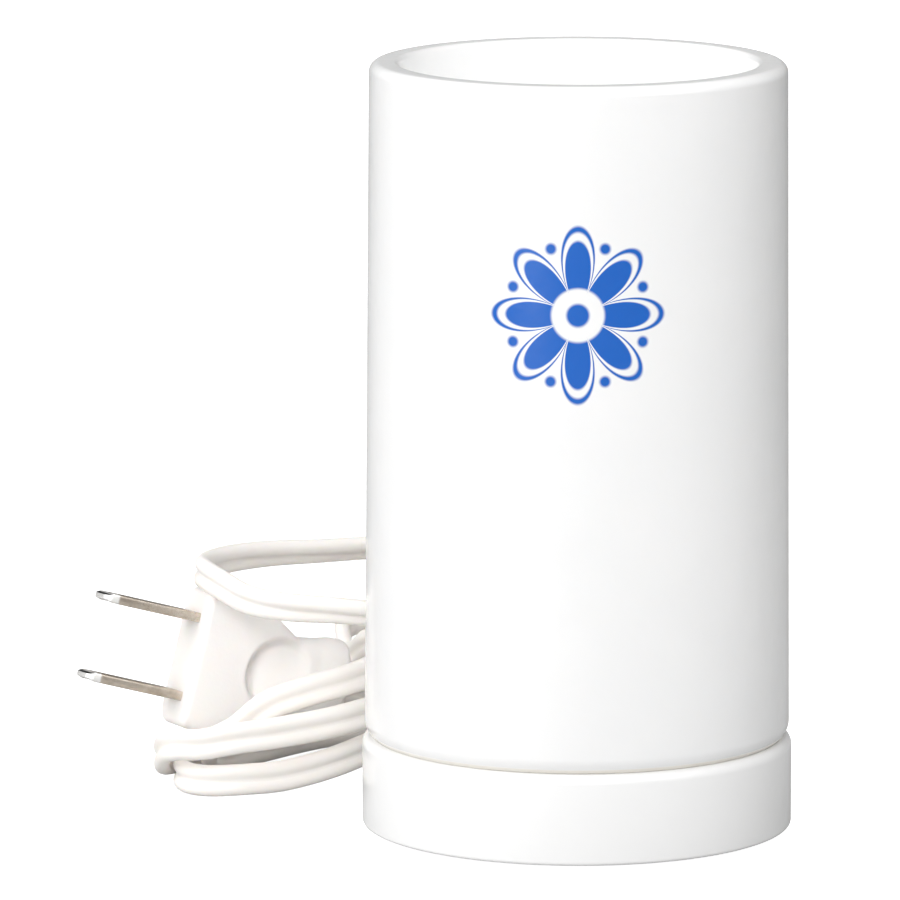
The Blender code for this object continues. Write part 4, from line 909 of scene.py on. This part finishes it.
ornament.links.new(ink, ornament_out.inputs["Ink"])
print("drew", PETALS, "dots between the petals")

# %% [markdown]
# ## The porcelain
#
# Porcelain glaze is glass on a white body. It is glossy, a little uneven where it ran, and
# leaves the foot bare, because a glazed foot would stick to the kiln shelf. The finish
# therefore has a clear coat, a very slow bump, and a matt foot below a set height.

# %% The glaze
SHADE_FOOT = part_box("porcelain_shade")[0][2]
SHADE_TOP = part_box("porcelain_shade")[1][2]
GLAZE_WHITE = (0.840, 0.839, 0.837)
GLAZE_POOLED = (0.823, 0.824, 0.823)
BARE_BODY = (0.80, 0.77, 0.71)
PRINT_BLUE = (0.0, 0.107, 0.485)
GLAZE_THINS = 0.0005
GLAZE_ENDS = 0.0002
MATT_FOOT = 0.6
glaze = finish_of(
    "porcelain_glaze", GLAZE_WHITE, GLAZE_POOLED, 0.24, grain_size=0.006, bump=0.05, patch=0.03
)
let_light_in(glaze, 0.15, (0.003, 0.0027, 0.0024))
tree = glaze.node_tree
shader = tree.nodes["Principled BSDF"]
tune(shader, Coat_Weight=0.3, Coat_Roughness=0.12)
print_mask = use(tree, ornament)
cover(tree, shader, print_mask.outputs["Ink"], PRINT_BLUE)
place = add(tree, "ShaderNodeTexCoord")
axes = add(tree, "ShaderNodeSeparateXYZ")
tree.links.new(place.outputs["Object"], axes.inputs["Vector"])
bare = ramp(tree, axes.outputs["Z"], SHADE_FOOT + GLAZE_THINS, SHADE_FOOT + GLAZE_ENDS)
cover(tree, shader, bare, BARE_BODY)
roughen(tree, shader, bare, MATT_FOOT)
print("the glaze is bare below", round(SHADE_FOOT + GLAZE_THINS, 4), "m")

# %% The shade's walls and rounds
RIM_WIDTH = 0.0046
RIM_ROUND = 0.0016
RIM_INNER_ROUND = 0.0009
FOOT_ROUND = 0.0030
FOOT_TURN = 50.0
FOOT_INNER_ROUND = 0.0008
SEAT_GAP = 0.00004
RIM_RADIUS = 0.03185
DISH_WALL_DEPTH = 0.0072
DISH_SAG = 0.0012
DISH_THICKNESS = 0.0040
FOOT_WALL = 0.0042
HEAD_WALL = 0.00425
DISH_CORNER = 0.0016
DISH_CORNER_TURN = 78.0
CEILING_ROUND = 0.0020
dish_edge = SHADE_TOP - DISH_WALL_DEPTH
dish_wall = RIM_RADIUS - RIM_WIDTH
floor_run = dish_wall - DISH_CORNER
ceiling = dish_edge - DISH_CORNER - DISH_SAG - DISH_THICKNESS
print("the dish is", round(1000 * (SHADE_TOP - ceiling - DISH_THICKNESS), 1), "mm deep")

# %% Turn the shade
profile = []
for share in np.linspace(0, 1, 17):
    profile.append((floor_run * share, dish_edge - DISH_CORNER - DISH_SAG * (1 - share**2)))
profile += arc((floor_run, dish_edge), DISH_CORNER, -DISH_CORNER_TURN, 0, 8)
lip_middle = (dish_wall + RIM_INNER_ROUND, SHADE_TOP - RIM_INNER_ROUND)
profile += arc(lip_middle, RIM_INNER_ROUND, 180, 90, 8)
profile += arc((RIM_RADIUS - RIM_ROUND, SHADE_TOP - RIM_ROUND), RIM_ROUND, 90, 0, 18)
seat = SHADE_FOOT - FIT + SEAT_GAP
foot_middle = (SHADE_RADIUS - FOOT_ROUND, seat + FOOT_ROUND * math.sin(math.radians(FOOT_TURN)))
for share in np.linspace(0, 1, 12)[1:-1]:
    height = (SHADE_TOP - RIM_ROUND) * (1 - share) + foot_middle[1] * share
    profile.append((RIM_RADIUS * (1 - share) + SHADE_RADIUS * share, height))
profile += arc(foot_middle, FOOT_ROUND, 0, -FOOT_TURN, 12)
inner_foot = SHADE_RADIUS - FOOT_WALL
profile += arc((inner_foot + FOOT_INNER_ROUND, seat + FOOT_INNER_ROUND), FOOT_INNER_ROUND, -90, -180, 6)
inner_head = RIM_RADIUS - HEAD_WALL
profile += arc((inner_head - CEILING_ROUND, ceiling - CEILING_ROUND), CEILING_ROUND, 0, 90, 8)
profile += [(0.0, ceiling)]
shade = turned("shade", profile, glaze, steps=192)
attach(shade, "shade")
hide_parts("porcelain_shade")
print("the shade is", round(1000 * (SHADE_TOP - SHADE_FOOT), 1), "mm tall")

# %% [markdown]
# ## The base
#
# The base is moulded in glossy white plastic. A low ring on its deck keeps the porcelain
# centred. It is turned in one go, and the holes are then cut with Boolean modifiers, whose
# result is kept as a plain mesh.

# %% Cut holes with simple solids
def rod_cutter(radius, low, high, at, steps=48):
    """An upright rod from low to high, at (x, y)."""
    shape = bmesh.new()
    middle = Matrix.Translation((at[0], at[1], (low + high) / 2))
    bmesh.ops.create_cone(
        shape, cap_ends=True, segments=steps, radius1=radius, radius2=radius, depth=high - low,
        matrix=middle
    )
    return as_mesh("cutter", shape)


def box_cutter(size, centre, turn):
    """A box, turned about an upright axis."""
    shape = bmesh.new()
    placed = Matrix.Translation(centre) @ Matrix.Rotation(turn, 4, "Z") @ Matrix.Diagonal((*size, 1))
    bmesh.ops.create_cube(shape, size=1, matrix=placed)
    return as_mesh("cutter", shape)


def carve(piece, cutters):
    """Takes the cutters out of the piece, and leaves it a plain mesh."""
    drafts = []
    for mesh in cutters:
        draft = bpy.data.objects.new("cutter", mesh)
        bpy.context.scene.collection.objects.link(draft)
        drafts.append(draft)
        cut = piece.modifiers.new("cut", "BOOLEAN")
        cut.operation = "DIFFERENCE"
        cut.object = draft
    evaluated = piece.evaluated_get(bpy.context.evaluated_depsgraph_get())
    carved = bpy.data.meshes.new_from_object(evaluated)
    piece.modifiers.clear()
    piece.data = carved
    for draft in drafts:
        bpy.data.objects.remove(draft, do_unlink=True)
    carved.shade_smooth()
    carved.set_sharp_from_angle(angle=math.radians(SHARP_FROM))


# %% The base's plastic and sizes
gloss_white = finish_of(
    "moulded_gloss_white", (0.840, 0.839, 0.836), (0.830, 0.829, 0.826), 0.24, grain_size=0.004, bump=0.04,
    coat=0.25, patch=0.05
)
BASE_HEIGHT = 0.0145
BASE_LIFT = 0.0006
DECK = 0.0024
BASE_TOP_ROUND = 0.0016
BASE_FOOT_ROUND = 0.0006
SPIGOT_RADIUS = 0.0276
SPIGOT_WALL = 0.0022
SPIGOT_TOP = 0.0185
SOCKET_RADIUS = 0.0105
SOCKET_SCREW_CIRCLE = 0.0135
SCREW_RADIUS = 0.0013
deck_under = BASE_HEIGHT - DECK
print("the deck is", round(1000 * DECK, 1), "mm thick")

# %% Turn the base and cut its holes
hole = SOCKET_RADIUS + FIT
edge = 0.0005
spigot_in = SPIGOT_RADIUS - SPIGOT_WALL
profile = arc((hole + edge, BASE_HEIGHT - edge), edge, 180, 90, 5)
profile += arc((spigot_in - edge, BASE_HEIGHT + edge), edge, -90, 0, 5)
profile += arc((spigot_in + edge, SPIGOT_TOP - edge), edge, 180, 90, 5)
profile += arc((SPIGOT_RADIUS - edge, SPIGOT_TOP - edge), edge, 90, 0, 5)
profile += [(SPIGOT_RADIUS, BASE_HEIGHT)]
profile += arc((BASE_RADIUS - BASE_TOP_ROUND, BASE_HEIGHT - BASE_TOP_ROUND), BASE_TOP_ROUND, 90, 0, 12)
profile += arc((BASE_RADIUS - BASE_FOOT_ROUND, BASE_LIFT + BASE_FOOT_ROUND), BASE_FOOT_ROUND, 0, -90, 7)
base_inner = BASE_RADIUS - BASE_WALL
profile += [(base_inner, BASE_LIFT), (base_inner, deck_under), (hole, deck_under)]
base = turned("base", profile, gloss_white, steps=192, loop=True)
relief_middle = outward * (BASE_RADIUS - BASE_WALL / 2)
cutters = [
    box_cutter(
        (3 * BASE_WALL, 2 * (RELIEF_NECK[0] + FIT), 2 * (RELIEF_NECK[1] + FIT)),
        (relief_middle.x, relief_middle.y, EXIT_HEIGHT),
        EXIT_AZIMUTH,
    )
]
for side in (1, -1):
    at = (0, side * SOCKET_SCREW_CIRCLE)
    cutters.append(rod_cutter(SCREW_RADIUS + FIT, deck_under - DECK, BASE_HEIGHT + DECK, at))
carve(base, cutters)
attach(base, "base")
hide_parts("lamp_base")
print("the base is", round(2000 * BASE_RADIUS, 1), "mm across")

# %% [markdown]
# ## Under the base
#
# The cover, its screws and its feet are seen only when the lamp is turned over. The feet
# are turned again with soft edges. The cover and screws keep their solids, and a bevel
# modifier gives their edges a highlight.

# %% Feet
PAD_EDGE = 0.0004
PAD_LIP = 0.0006
PAD_LIP_PLACE = 0.55
PAD_HOLLOW = 0.0002
PAD_HOLLOW_PLACE = 0.45
rubber = finish_of(
    "grey_rubber", (0.20, 0.20, 0.195), (0.16, 0.16, 0.155), 0.75, grain_size=0.0003, bump=0.3
)
for number in (1, 2, 3):
    low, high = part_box(f"foot_{number}")
    middle = ((low[0] + high[0]) / 2, (low[1] + high[1]) / 2)
    foot_radius = (high[0] - low[0]) / 2
    profile = [(0.0, high[2]), (foot_radius, high[2])]
    profile += arc((foot_radius - PAD_EDGE, low[2] + PAD_EDGE), PAD_EDGE, 0, -90, 5)
    profile += arc((foot_radius * PAD_LIP_PLACE, low[2] + PAD_LIP), PAD_LIP, -90, -110, 3)
    profile += [(foot_radius * PAD_HOLLOW_PLACE, low[2] + PAD_HOLLOW), (0.0, low[2] + PAD_HOLLOW)]
    foot = turned(f"rubber_foot_{number}", profile, rubber, steps=64, at=middle)
    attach(foot, "base")
    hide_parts(f"foot_{number}")
print("made 3 feet, each", round(2000 * foot_radius, 1), "mm across")


# %% Give a solid of the model its finish
def dress(node, finish, bevel=0.0):
    """Gives a solid of the model a finish, and edges that are broken by a small bevel."""
    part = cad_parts[node]
    part.data.materials.clear()
    part.data.materials.append(finish)
    if bevel:
        softened = part.modifiers.new("soft_edges", "BEVEL")
        softened.width = bevel
        softened.segments = 2
        softened.limit_method = "ANGLE"
        softened.angle_limit = math.radians(40)
        softened.use_clamp_overlap = True


# %% Cover, screws and clamp
COVER_BEVEL = 0.0002
SCREW_BEVEL = 0.00012
SCREW_COUNTS = {"cover_screw": 3, "socket_screw": 2, "terminal_screw": 2, "clamp_screw": 2}
matt_white = finish_of(
    "matt_white_plastic", (0.80, 0.80, 0.785), (0.77, 0.77, 0.755), 0.5, grain_size=0.0003, bump=0.25
)
steel = finish_of(
    "plated_steel", (0.66, 0.65, 0.62), (0.58, 0.57, 0.53), 0.30, grain_size=0.0002, bump=0.08,
    metallic=1.0, patch=0.002, rubbed=(0.8, 0.79, 0.76)
)
dress("bottom_cover", matt_white, COVER_BEVEL)
dress("cord_clamp", matt_white, COVER_BEVEL)
for kind, count in SCREW_COUNTS.items():
    for number in range(1, count + 1):
        dress(f"{kind}_{number}", steel, SCREW_BEVEL)
print("dressed the cover, the clamp and", sum(SCREW_COUNTS.values()), "screws")

# %% [markdown]
# ## The lamp holder
#
# Lifting the porcelain shows the holder's cream collar with the threaded brass shell in it.
# The collar is turned again, so that its mouth gets a round edge. The strips, rivets and
# wires under the deck are hidden, so their solids stay and only get a finish.

# %% Turn the holder
SOCKET_BORE = 0.0073
SOCKET_FLOOR = 0.0083
SOCKET_EDGE = 0.0006
FLANGE_THICKNESS = 0.0023
CONTACT_SHANK = 0.0007
SHELL_RIVET = (0.0045, 0.0)
TERMINAL_CIRCLE = 0.0140
heatproof = finish_of(
    "heatproof_plastic", (0.84, 0.82, 0.75), (0.80, 0.775, 0.70), 0.42, grain_size=0.0004, bump=0.2
)
low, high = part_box("socket_body")
flange_radius = high[0]
flange_top = deck_under - FIT
flange_bottom = flange_top - FLANGE_THICKNESS
profile = [(0.0, SOCKET_FLOOR), (SOCKET_BORE, SOCKET_FLOOR)]
profile += arc((SOCKET_BORE + SOCKET_EDGE, high[2] - SOCKET_EDGE), SOCKET_EDGE, 180, 90, 6)
profile += arc((SOCKET_RADIUS - SOCKET_EDGE, high[2] - SOCKET_EDGE), SOCKET_EDGE, 90, 0, 6)
profile += [(SOCKET_RADIUS, flange_top), (flange_radius, flange_top), (flange_radius, flange_bottom)]
profile += [(SOCKET_RADIUS, flange_bottom), (SOCKET_RADIUS, low[2]), (0.0, low[2])]
holder = turned("holder", profile, heatproof, steps=96)
cutters = []
for at in ((0, 0), SHELL_RIVET):
    cutters.append(rod_cutter(CONTACT_SHANK + FIT, low[2] - FIT, SOCKET_FLOOR + FIT, at, 24))
screw_places = [(0, SOCKET_SCREW_CIRCLE), (0, -SOCKET_SCREW_CIRCLE)]
screw_places += [(TERMINAL_CIRCLE, 0), (-TERMINAL_CIRCLE, 0)]
for at in screw_places:
    cutters.append(rod_cutter(SCREW_RADIUS + FIT, flange_bottom - FIT, flange_top + FIT, at, 24))
carve(holder, cutters)
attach(holder, "base")
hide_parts("socket_body")
print("the holder stands", round(1000 * (high[2] - BASE_HEIGHT), 1), "mm above the deck")

# %% Shell, contacts, strips and wires
brass = finish_of(
    "brass", (0.78, 0.60, 0.28), (0.66, 0.48, 0.22), 0.28, grain_size=0.0003, bump=0.06,
    metallic=1.0, patch=0.004, rubbed=(0.92, 0.78, 0.45)
)
core_black = finish_of("core_black", (0.03, 0.03, 0.03), (0.045, 0.045, 0.045), 0.45, grain_size=0.0003)
core_white = finish_of("core_white", (0.83, 0.83, 0.80), (0.80, 0.79, 0.76), 0.45, grain_size=0.0003)
brass_nodes = ("socket_shell", "centre_contact", "shell_rivet", "centre_terminal", "shell_terminal")
for node in brass_nodes:
    dress(node, brass)
dress("core_live", core_black)
dress("core_neutral", core_white)
dress("cord_inner", flex_finish)
print("dressed", len(brass_nodes), "brass parts and the wires")

# %% [markdown]
# ## The bulb
#
# The bulb is a small tubular one. Its cap has a real thread: a row of rings whose radius
# rises and falls with height, shifted a little further at each angle, so that the wave
# climbs like a screw. The glass is a thin shell with an inside, which is what makes it
# look like a bulb and not like a glass marble.

# %% The cap's nickel, and one ring of it
THREAD_PITCH = 0.00254
THREAD_ROOT = 0.0053
THREAD_DEPTH = 0.00063
THREAD_ROWS = 14
CAP_STEPS = 72
CAP_WALL = 0.0004
CAP_LIP = 0.0010
CAP_EDGE = 0.0001
CAP_COLLAR = 0.0059
CAP_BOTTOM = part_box("bulb_cap")[0][2]
CAP_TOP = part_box("bulb_cap")[1][2]
CAP_THREAD_TOP = 0.0222
nickel = finish_of(
    "nickel", (0.70, 0.68, 0.63), (0.62, 0.60, 0.55), 0.24, grain_size=0.0003, bump=0.05,
    metallic=1.0, patch=0.003, rubbed=(0.86, 0.84, 0.80)
)


def thread_ring(radius, height, share=0.0):
    """A ring of the cap. share says how much of the thread's depth its wave has."""
    ring = []
    for i in range(CAP_STEPS):
        angle = 2 * math.pi * i / CAP_STEPS
        wave = 0.5 + 0.5 * math.cos(2 * math.pi * height / THREAD_PITCH - angle)
        r = radius + share * THREAD_DEPTH * wave
        ring.append((r * math.cos(angle), r * math.sin(angle), height))
    return ring


print("the thread is", round(1000 * THREAD_DEPTH, 2), "mm deep")

# %% Stack the cap's rings
foot = CAP_BOTTOM + CAP_WALL
cap_step = CAP_THREAD_TOP + CAP_WALL
inside = THREAD_ROOT - CAP_WALL
lip = inside - CAP_LIP
collar_inside = CAP_COLLAR - CAP_WALL
outer = [(CAP_COLLAR - CAP_EDGE, CAP_TOP), (CAP_COLLAR, CAP_TOP - 2 * CAP_EDGE)]
outer += [(CAP_COLLAR, cap_step + CAP_WALL)]
inner = [(THREAD_ROOT - CAP_WALL / 2, CAP_BOTTOM), (lip, CAP_BOTTOM), (lip, foot), (inside, foot)]
inner += [(inside, cap_step), (collar_inside, cap_step + 2 * CAP_WALL), (collar_inside, CAP_TOP)]
rings = [thread_ring(radius, height) for radius, height in outer]
rows = round((CAP_THREAD_TOP - foot) / THREAD_PITCH * THREAD_ROWS)
for k in range(rows + 1):
    height = CAP_THREAD_TOP + (foot - CAP_THREAD_TOP) * k / rows
    share = min(1, (CAP_THREAD_TOP - height) / (THREAD_PITCH / 2), (height - foot) / (THREAD_PITCH / 2))
    rings.append(thread_ring(THREAD_ROOT, height, share))
rings += [thread_ring(radius, height) for radius, height in inner]
cap = skin("cap", rings, nickel, loop=True, sharp=60.0)
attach(cap, "bulb")
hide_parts("bulb_cap")
print("the cap has", round((CAP_THREAD_TOP - foot) / THREAD_PITCH, 1), "turns of thread")

# %% Clear glass
clear_glass, tree, shader = shader_of("clear_glass")
tune(shader, Transmission_Weight=1.0, Roughness=0.02, IOR=1.47)
haze = use(tree, drift, Patch_Size=0.006, Strength=1.0)
tint = mixed(tree, haze.outputs["Mask"], (0.985, 0.992, 0.99), (0.955, 0.97, 0.965))
tree.links.new(tint, shader.inputs["Base Color"])
print("mixed", clear_glass.name)

# %% The bulb's glass
GLASS_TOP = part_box("bulb_glass")[1][2]
GLASS_NECK_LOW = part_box("bulb_glass")[0][2]
GLASS_RADIUS = 0.0100
GLASS_NECK = 0.0045
GLASS_WALL = 0.0006
GLASS_SHOULDER = 0.0330
SHOULDER_STRAIGHT = 0.35
collar = collar_inside - FIT
seat = CAP_TOP + FIT
neck_inside = GLASS_NECK - GLASS_WALL
dome_inside = GLASS_RADIUS - GLASS_WALL


def shoulder(inset):
    """The glass between neck and cylinder, on a smooth S."""
    points = []
    for share in np.linspace(1, 0, 12)[1:-1]:
        ease = soft_step(share, 0, 1)
        wide = SHOULDER_STRAIGHT * share + (1 - SHOULDER_STRAIGHT) * ease
        radius = collar + (GLASS_RADIUS - collar) * wide
        points.append((radius - inset, seat + (GLASS_SHOULDER - seat) * share))
    return points


dome = (0.0, GLASS_TOP - GLASS_RADIUS)
profile = [(0.0, GLASS_TOP)] + arc(dome, GLASS_RADIUS, 90, 0, 22)[1:]
profile += [(GLASS_RADIUS, GLASS_SHOULDER)] + shoulder(0)
profile += [(collar, seat), (GLASS_NECK, cap_step), (GLASS_NECK, GLASS_NECK_LOW)]
profile += [(neck_inside, GLASS_NECK_LOW), (neck_inside, cap_step), (collar - GLASS_WALL, seat)]
profile += shoulder(GLASS_WALL)[::-1] + [(dome_inside, GLASS_SHOULDER)]
profile += arc(dome, dome_inside, 0, 90, 22)[:-1] + [(0.0, GLASS_TOP - GLASS_WALL)]
glass = turned("glass", profile, clear_glass, steps=96)
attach(glass, "bulb")
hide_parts("bulb_glass")
print("the bulb's glass is", round(1000 * (GLASS_TOP - seat), 1), "mm tall")

# %% The stem that carries the wires
STEM_RADIUS = 0.0022
STEM_TIP = 0.0009
STEM_FOOT = 0.0010
BELOW_THE_TOP = ((STEM_TIP, 0.0030), (0.0016, 0.0044), (STEM_RADIUS, 0.0060))
ABOVE_THE_SEAT = ((STEM_RADIUS, 0.0008), (0.0026, 0.0))
low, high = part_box("bulb_stem")
neck_fill = neck_inside - FIT
profile = [(0.0, high[2])] + arc((0.0, high[2] - STEM_TIP), STEM_TIP, 80, 0, 6)
profile += [(radius, high[2] - drop) for radius, drop in BELOW_THE_TOP]
profile += [(radius, seat + rise) for radius, rise in ABOVE_THE_SEAT]
profile += [(neck_fill, low[2] + STEM_FOOT), (neck_fill, low[2]), (0.0, low[2])]
stem = turned("stem", profile, clear_glass, steps=48)
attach(stem, "bulb")
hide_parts("bulb_stem")
print("the stem is", round(1000 * (high[2] - low[2]), 1), "mm tall")

# %% [markdown]
# The filament is a wire that is wound into a fine coil, and it sags a little between its
# two supports. Its round section is swept along a spiral by the helper that made the cord.

# %% The filament
COIL_TURNS = 26
COIL_POINTS = 14
COIL_RADIUS = 0.00042
COIL_SAG = 0.0006
WIRE_RADIUS = 0.00009
low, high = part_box("bulb_filament")
middle_height = (low[2] + high[2]) / 2
half_span = high[0] - WIRE_RADIUS
coil_steps = COIL_TURNS * COIL_POINTS
line = []
for k in range(coil_steps + 1):
    share = k / coil_steps
    angle = 2 * math.pi * COIL_TURNS * share
    sag = COIL_SAG * (1 - (2 * share - 1) ** 2)
    height = middle_height - sag + COIL_RADIUS * math.sin(angle)
    line.append((half_span * (2 * share - 1), COIL_RADIUS * math.cos(angle), height))
line = np.array(line)
round_wire = [(WIRE_RADIUS * math.cos(a), WIRE_RADIUS * math.sin(a)) for a in np.arange(6) * math.pi / 3]
tungsten = finish_of(
    "tungsten", (0.30, 0.29, 0.28), (0.22, 0.21, 0.20), 0.4, grain_size=0.0002, metallic=1.0
)
filament = swept("filament", line, np.zeros(len(line)), round_wire, tungsten)
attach(filament, "bulb")
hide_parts("bulb_filament")
dress("filament_support_1", nickel)
dress("filament_support_2", nickel)
print("the filament has", COIL_TURNS, "turns")

# %% [markdown]
# The cap ends in a ring of black glass, and in a dome of solder that touches the holder's
# contact. The dome is turned, and the ring keeps its solid and gets a small bevel.

# %% Solder tip and black glass
TIP_SHANK = 0.0008
TIP_HEIGHT = 0.0012
TIP_RIM = 0.0004
GLASS_BEVEL = 0.0001
low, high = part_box("bulb_tip")
tip_radius = high[0]
tip_top = low[2] + TIP_HEIGHT
dome_start = tip_top - TIP_RIM
profile = [(0.0, high[2]), (TIP_SHANK, high[2]), (TIP_SHANK, tip_top), (tip_radius, tip_top)]
for angle in np.radians(np.linspace(0, 90, 9)):
    height = dome_start - (dome_start - low[2]) * math.sin(angle)
    profile.append((tip_radius * math.cos(angle), height))
solder = finish_of(
    "solder", (0.60, 0.60, 0.60), (0.48, 0.48, 0.48), 0.35, grain_size=0.0004, bump=0.3, metallic=1.0
)
tip = turned("solder_tip", profile, solder, steps=48)
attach(tip, "bulb_tip")
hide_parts("bulb_tip")
black_glass = finish_of("black_glass", (0.012, 0.012, 0.016), (0.02, 0.018, 0.02), 0.12, grain_size=0.0005)
dress("bulb_insulator", black_glass, GLASS_BEVEL)
print("the solder tip is", round(2000 * tip_radius, 1), "mm across")

# %% [markdown]
# ## Floor and light
#
# The photograph is a white object on white. The floor curves up behind the lamp, so that no
# horizon shows, and it is clear from below, so that the lamp's underside can be looked at.
# Light comes mostly from the left, the front and above, through large soft panels, and the
# right side falls into a light grey.

# %% The floor's sizes and finish
FLOOR_LEVEL = -0.0001
FLOOR_FRONT = -1.6
FLOOR_BACK = 2.6
FLOOR_HALF_WIDTH = 2.6
CURVE_RADIUS = 0.5
WALL_TOP = 2.2
FLOOR_SEEN = 1.0
FLOOR_GLOW = 0.02
floor_finish, tree, shader = shader_of("plain_floor")
tune(shader, Base_Color=(0.45, 0.45, 0.45, 1), Roughness=0.9, Specular_IOR_Level=0.0)
tune(shader, Emission_Color=(1, 1, 1, 1))
sight = add(tree, "ShaderNodeLightPath")
glow = maths(tree, "MULTIPLY", sight.outputs["Is Camera Ray"], FLOOR_SEEN - FLOOR_GLOW)
tree.links.new(maths(tree, "ADD", glow, FLOOR_GLOW), shader.inputs["Emission Strength"])
side = add(tree, "ShaderNodeNewGeometry")
clear = add(tree, "ShaderNodeBsdfTransparent")
mix = add(tree, "ShaderNodeMixShader")
tree.links.new(side.outputs["Backfacing"], mix.inputs["Fac"])
tree.links.new(shader.outputs["BSDF"], mix.inputs[1])
tree.links.new(clear.outputs["BSDF"], mix.inputs[2])
tree.links.new(mix.outputs["Shader"], tree.nodes["Material Output"].inputs["Surface"])
print("made the finish", floor_finish.name)

# %% The floor's sheet
outline = [(FLOOR_FRONT, FLOOR_LEVEL), (FLOOR_BACK - CURVE_RADIUS, FLOOR_LEVEL)]
outline += [
    (FLOOR_BACK - CURVE_RADIUS + CURVE_RADIUS * math.sin(a), CURVE_RADIUS * (1 - math.cos(a)))
    for a in np.radians(np.linspace(5, 90, 18))
]
outline += [(FLOOR_BACK, WALL_TOP)]
shape = bmesh.new()
for (y0, z0), (y1, z1) in zip(outline, outline[1:]):
    corners = [(-FLOOR_HALF_WIDTH, y0, z0), (FLOOR_HALF_WIDTH, y0, z0), (FLOOR_HALF_WIDTH, y1, z1)]
    corners.append((-FLOOR_HALF_WIDTH, y1, z1))
    shape.faces.new([shape.verts.new(corner) for corner in corners])
bmesh.ops.remove_doubles(shape, verts=shape.verts, dist=MERGE_DISTANCE)
floor_mesh = as_mesh("floor", shape)
floor_mesh.shade_smooth()
floor = new_piece("floor", floor_mesh, floor_finish)
print("the floor is", FLOOR_BACK - FLOOR_FRONT, "m deep")


# %% Soft panels of light: place, aim, size and power
PANELS = {
    "front_panel": ((-0.18, -1.45, 0.85), (0, 0, 0.06), (1.0, 0.9), 13.9),
    "left_panel": ((-1.35, -0.10, 0.50), (0, 0, 0.06), (0.8, 1.0), 11.2),
    "right_panel": ((0.34, -0.28, 0.43), (0, 0, 0.11), (0.4, 0.4), 0.92),
    "low_panel": ((-0.50, -1.05, 0.16), (-0.04, 0.03, 0.02), (0.35, 0.25), 2.0),
    "top_panel": ((0.0, -0.10, 1.30), (0, 0, 0.05), (0.9, 0.9), 6.9),
}
for name, (place, aim, size, power) in PANELS.items():
    data = bpy.data.lights.new(name, "AREA")
    data.shape = "RECTANGLE"
    data.size, data.size_y = size
    data.energy = power
    light = bpy.data.objects.new(name, data)
    light.location = place
    light.visible_camera = False
    light.rotation_euler = (Vector(aim) - Vector(place)).to_track_quat("-Z", "Y").to_euler()
    bpy.context.scene.collection.objects.link(light)
print("lit by", len(PANELS), "panels")

# %% A soft surround, and the plain view
SURROUND = 0.30
world = bpy.data.worlds.new("studio")
world.use_nodes = True
tune(world.node_tree.nodes["Background"], Color=(1.0, 1.0, 1.0, 1), Strength=SURROUND)
bpy.context.scene.world = world
bpy.context.scene.view_settings.view_transform = "Standard"
print("the surround has a strength of", SURROUND)
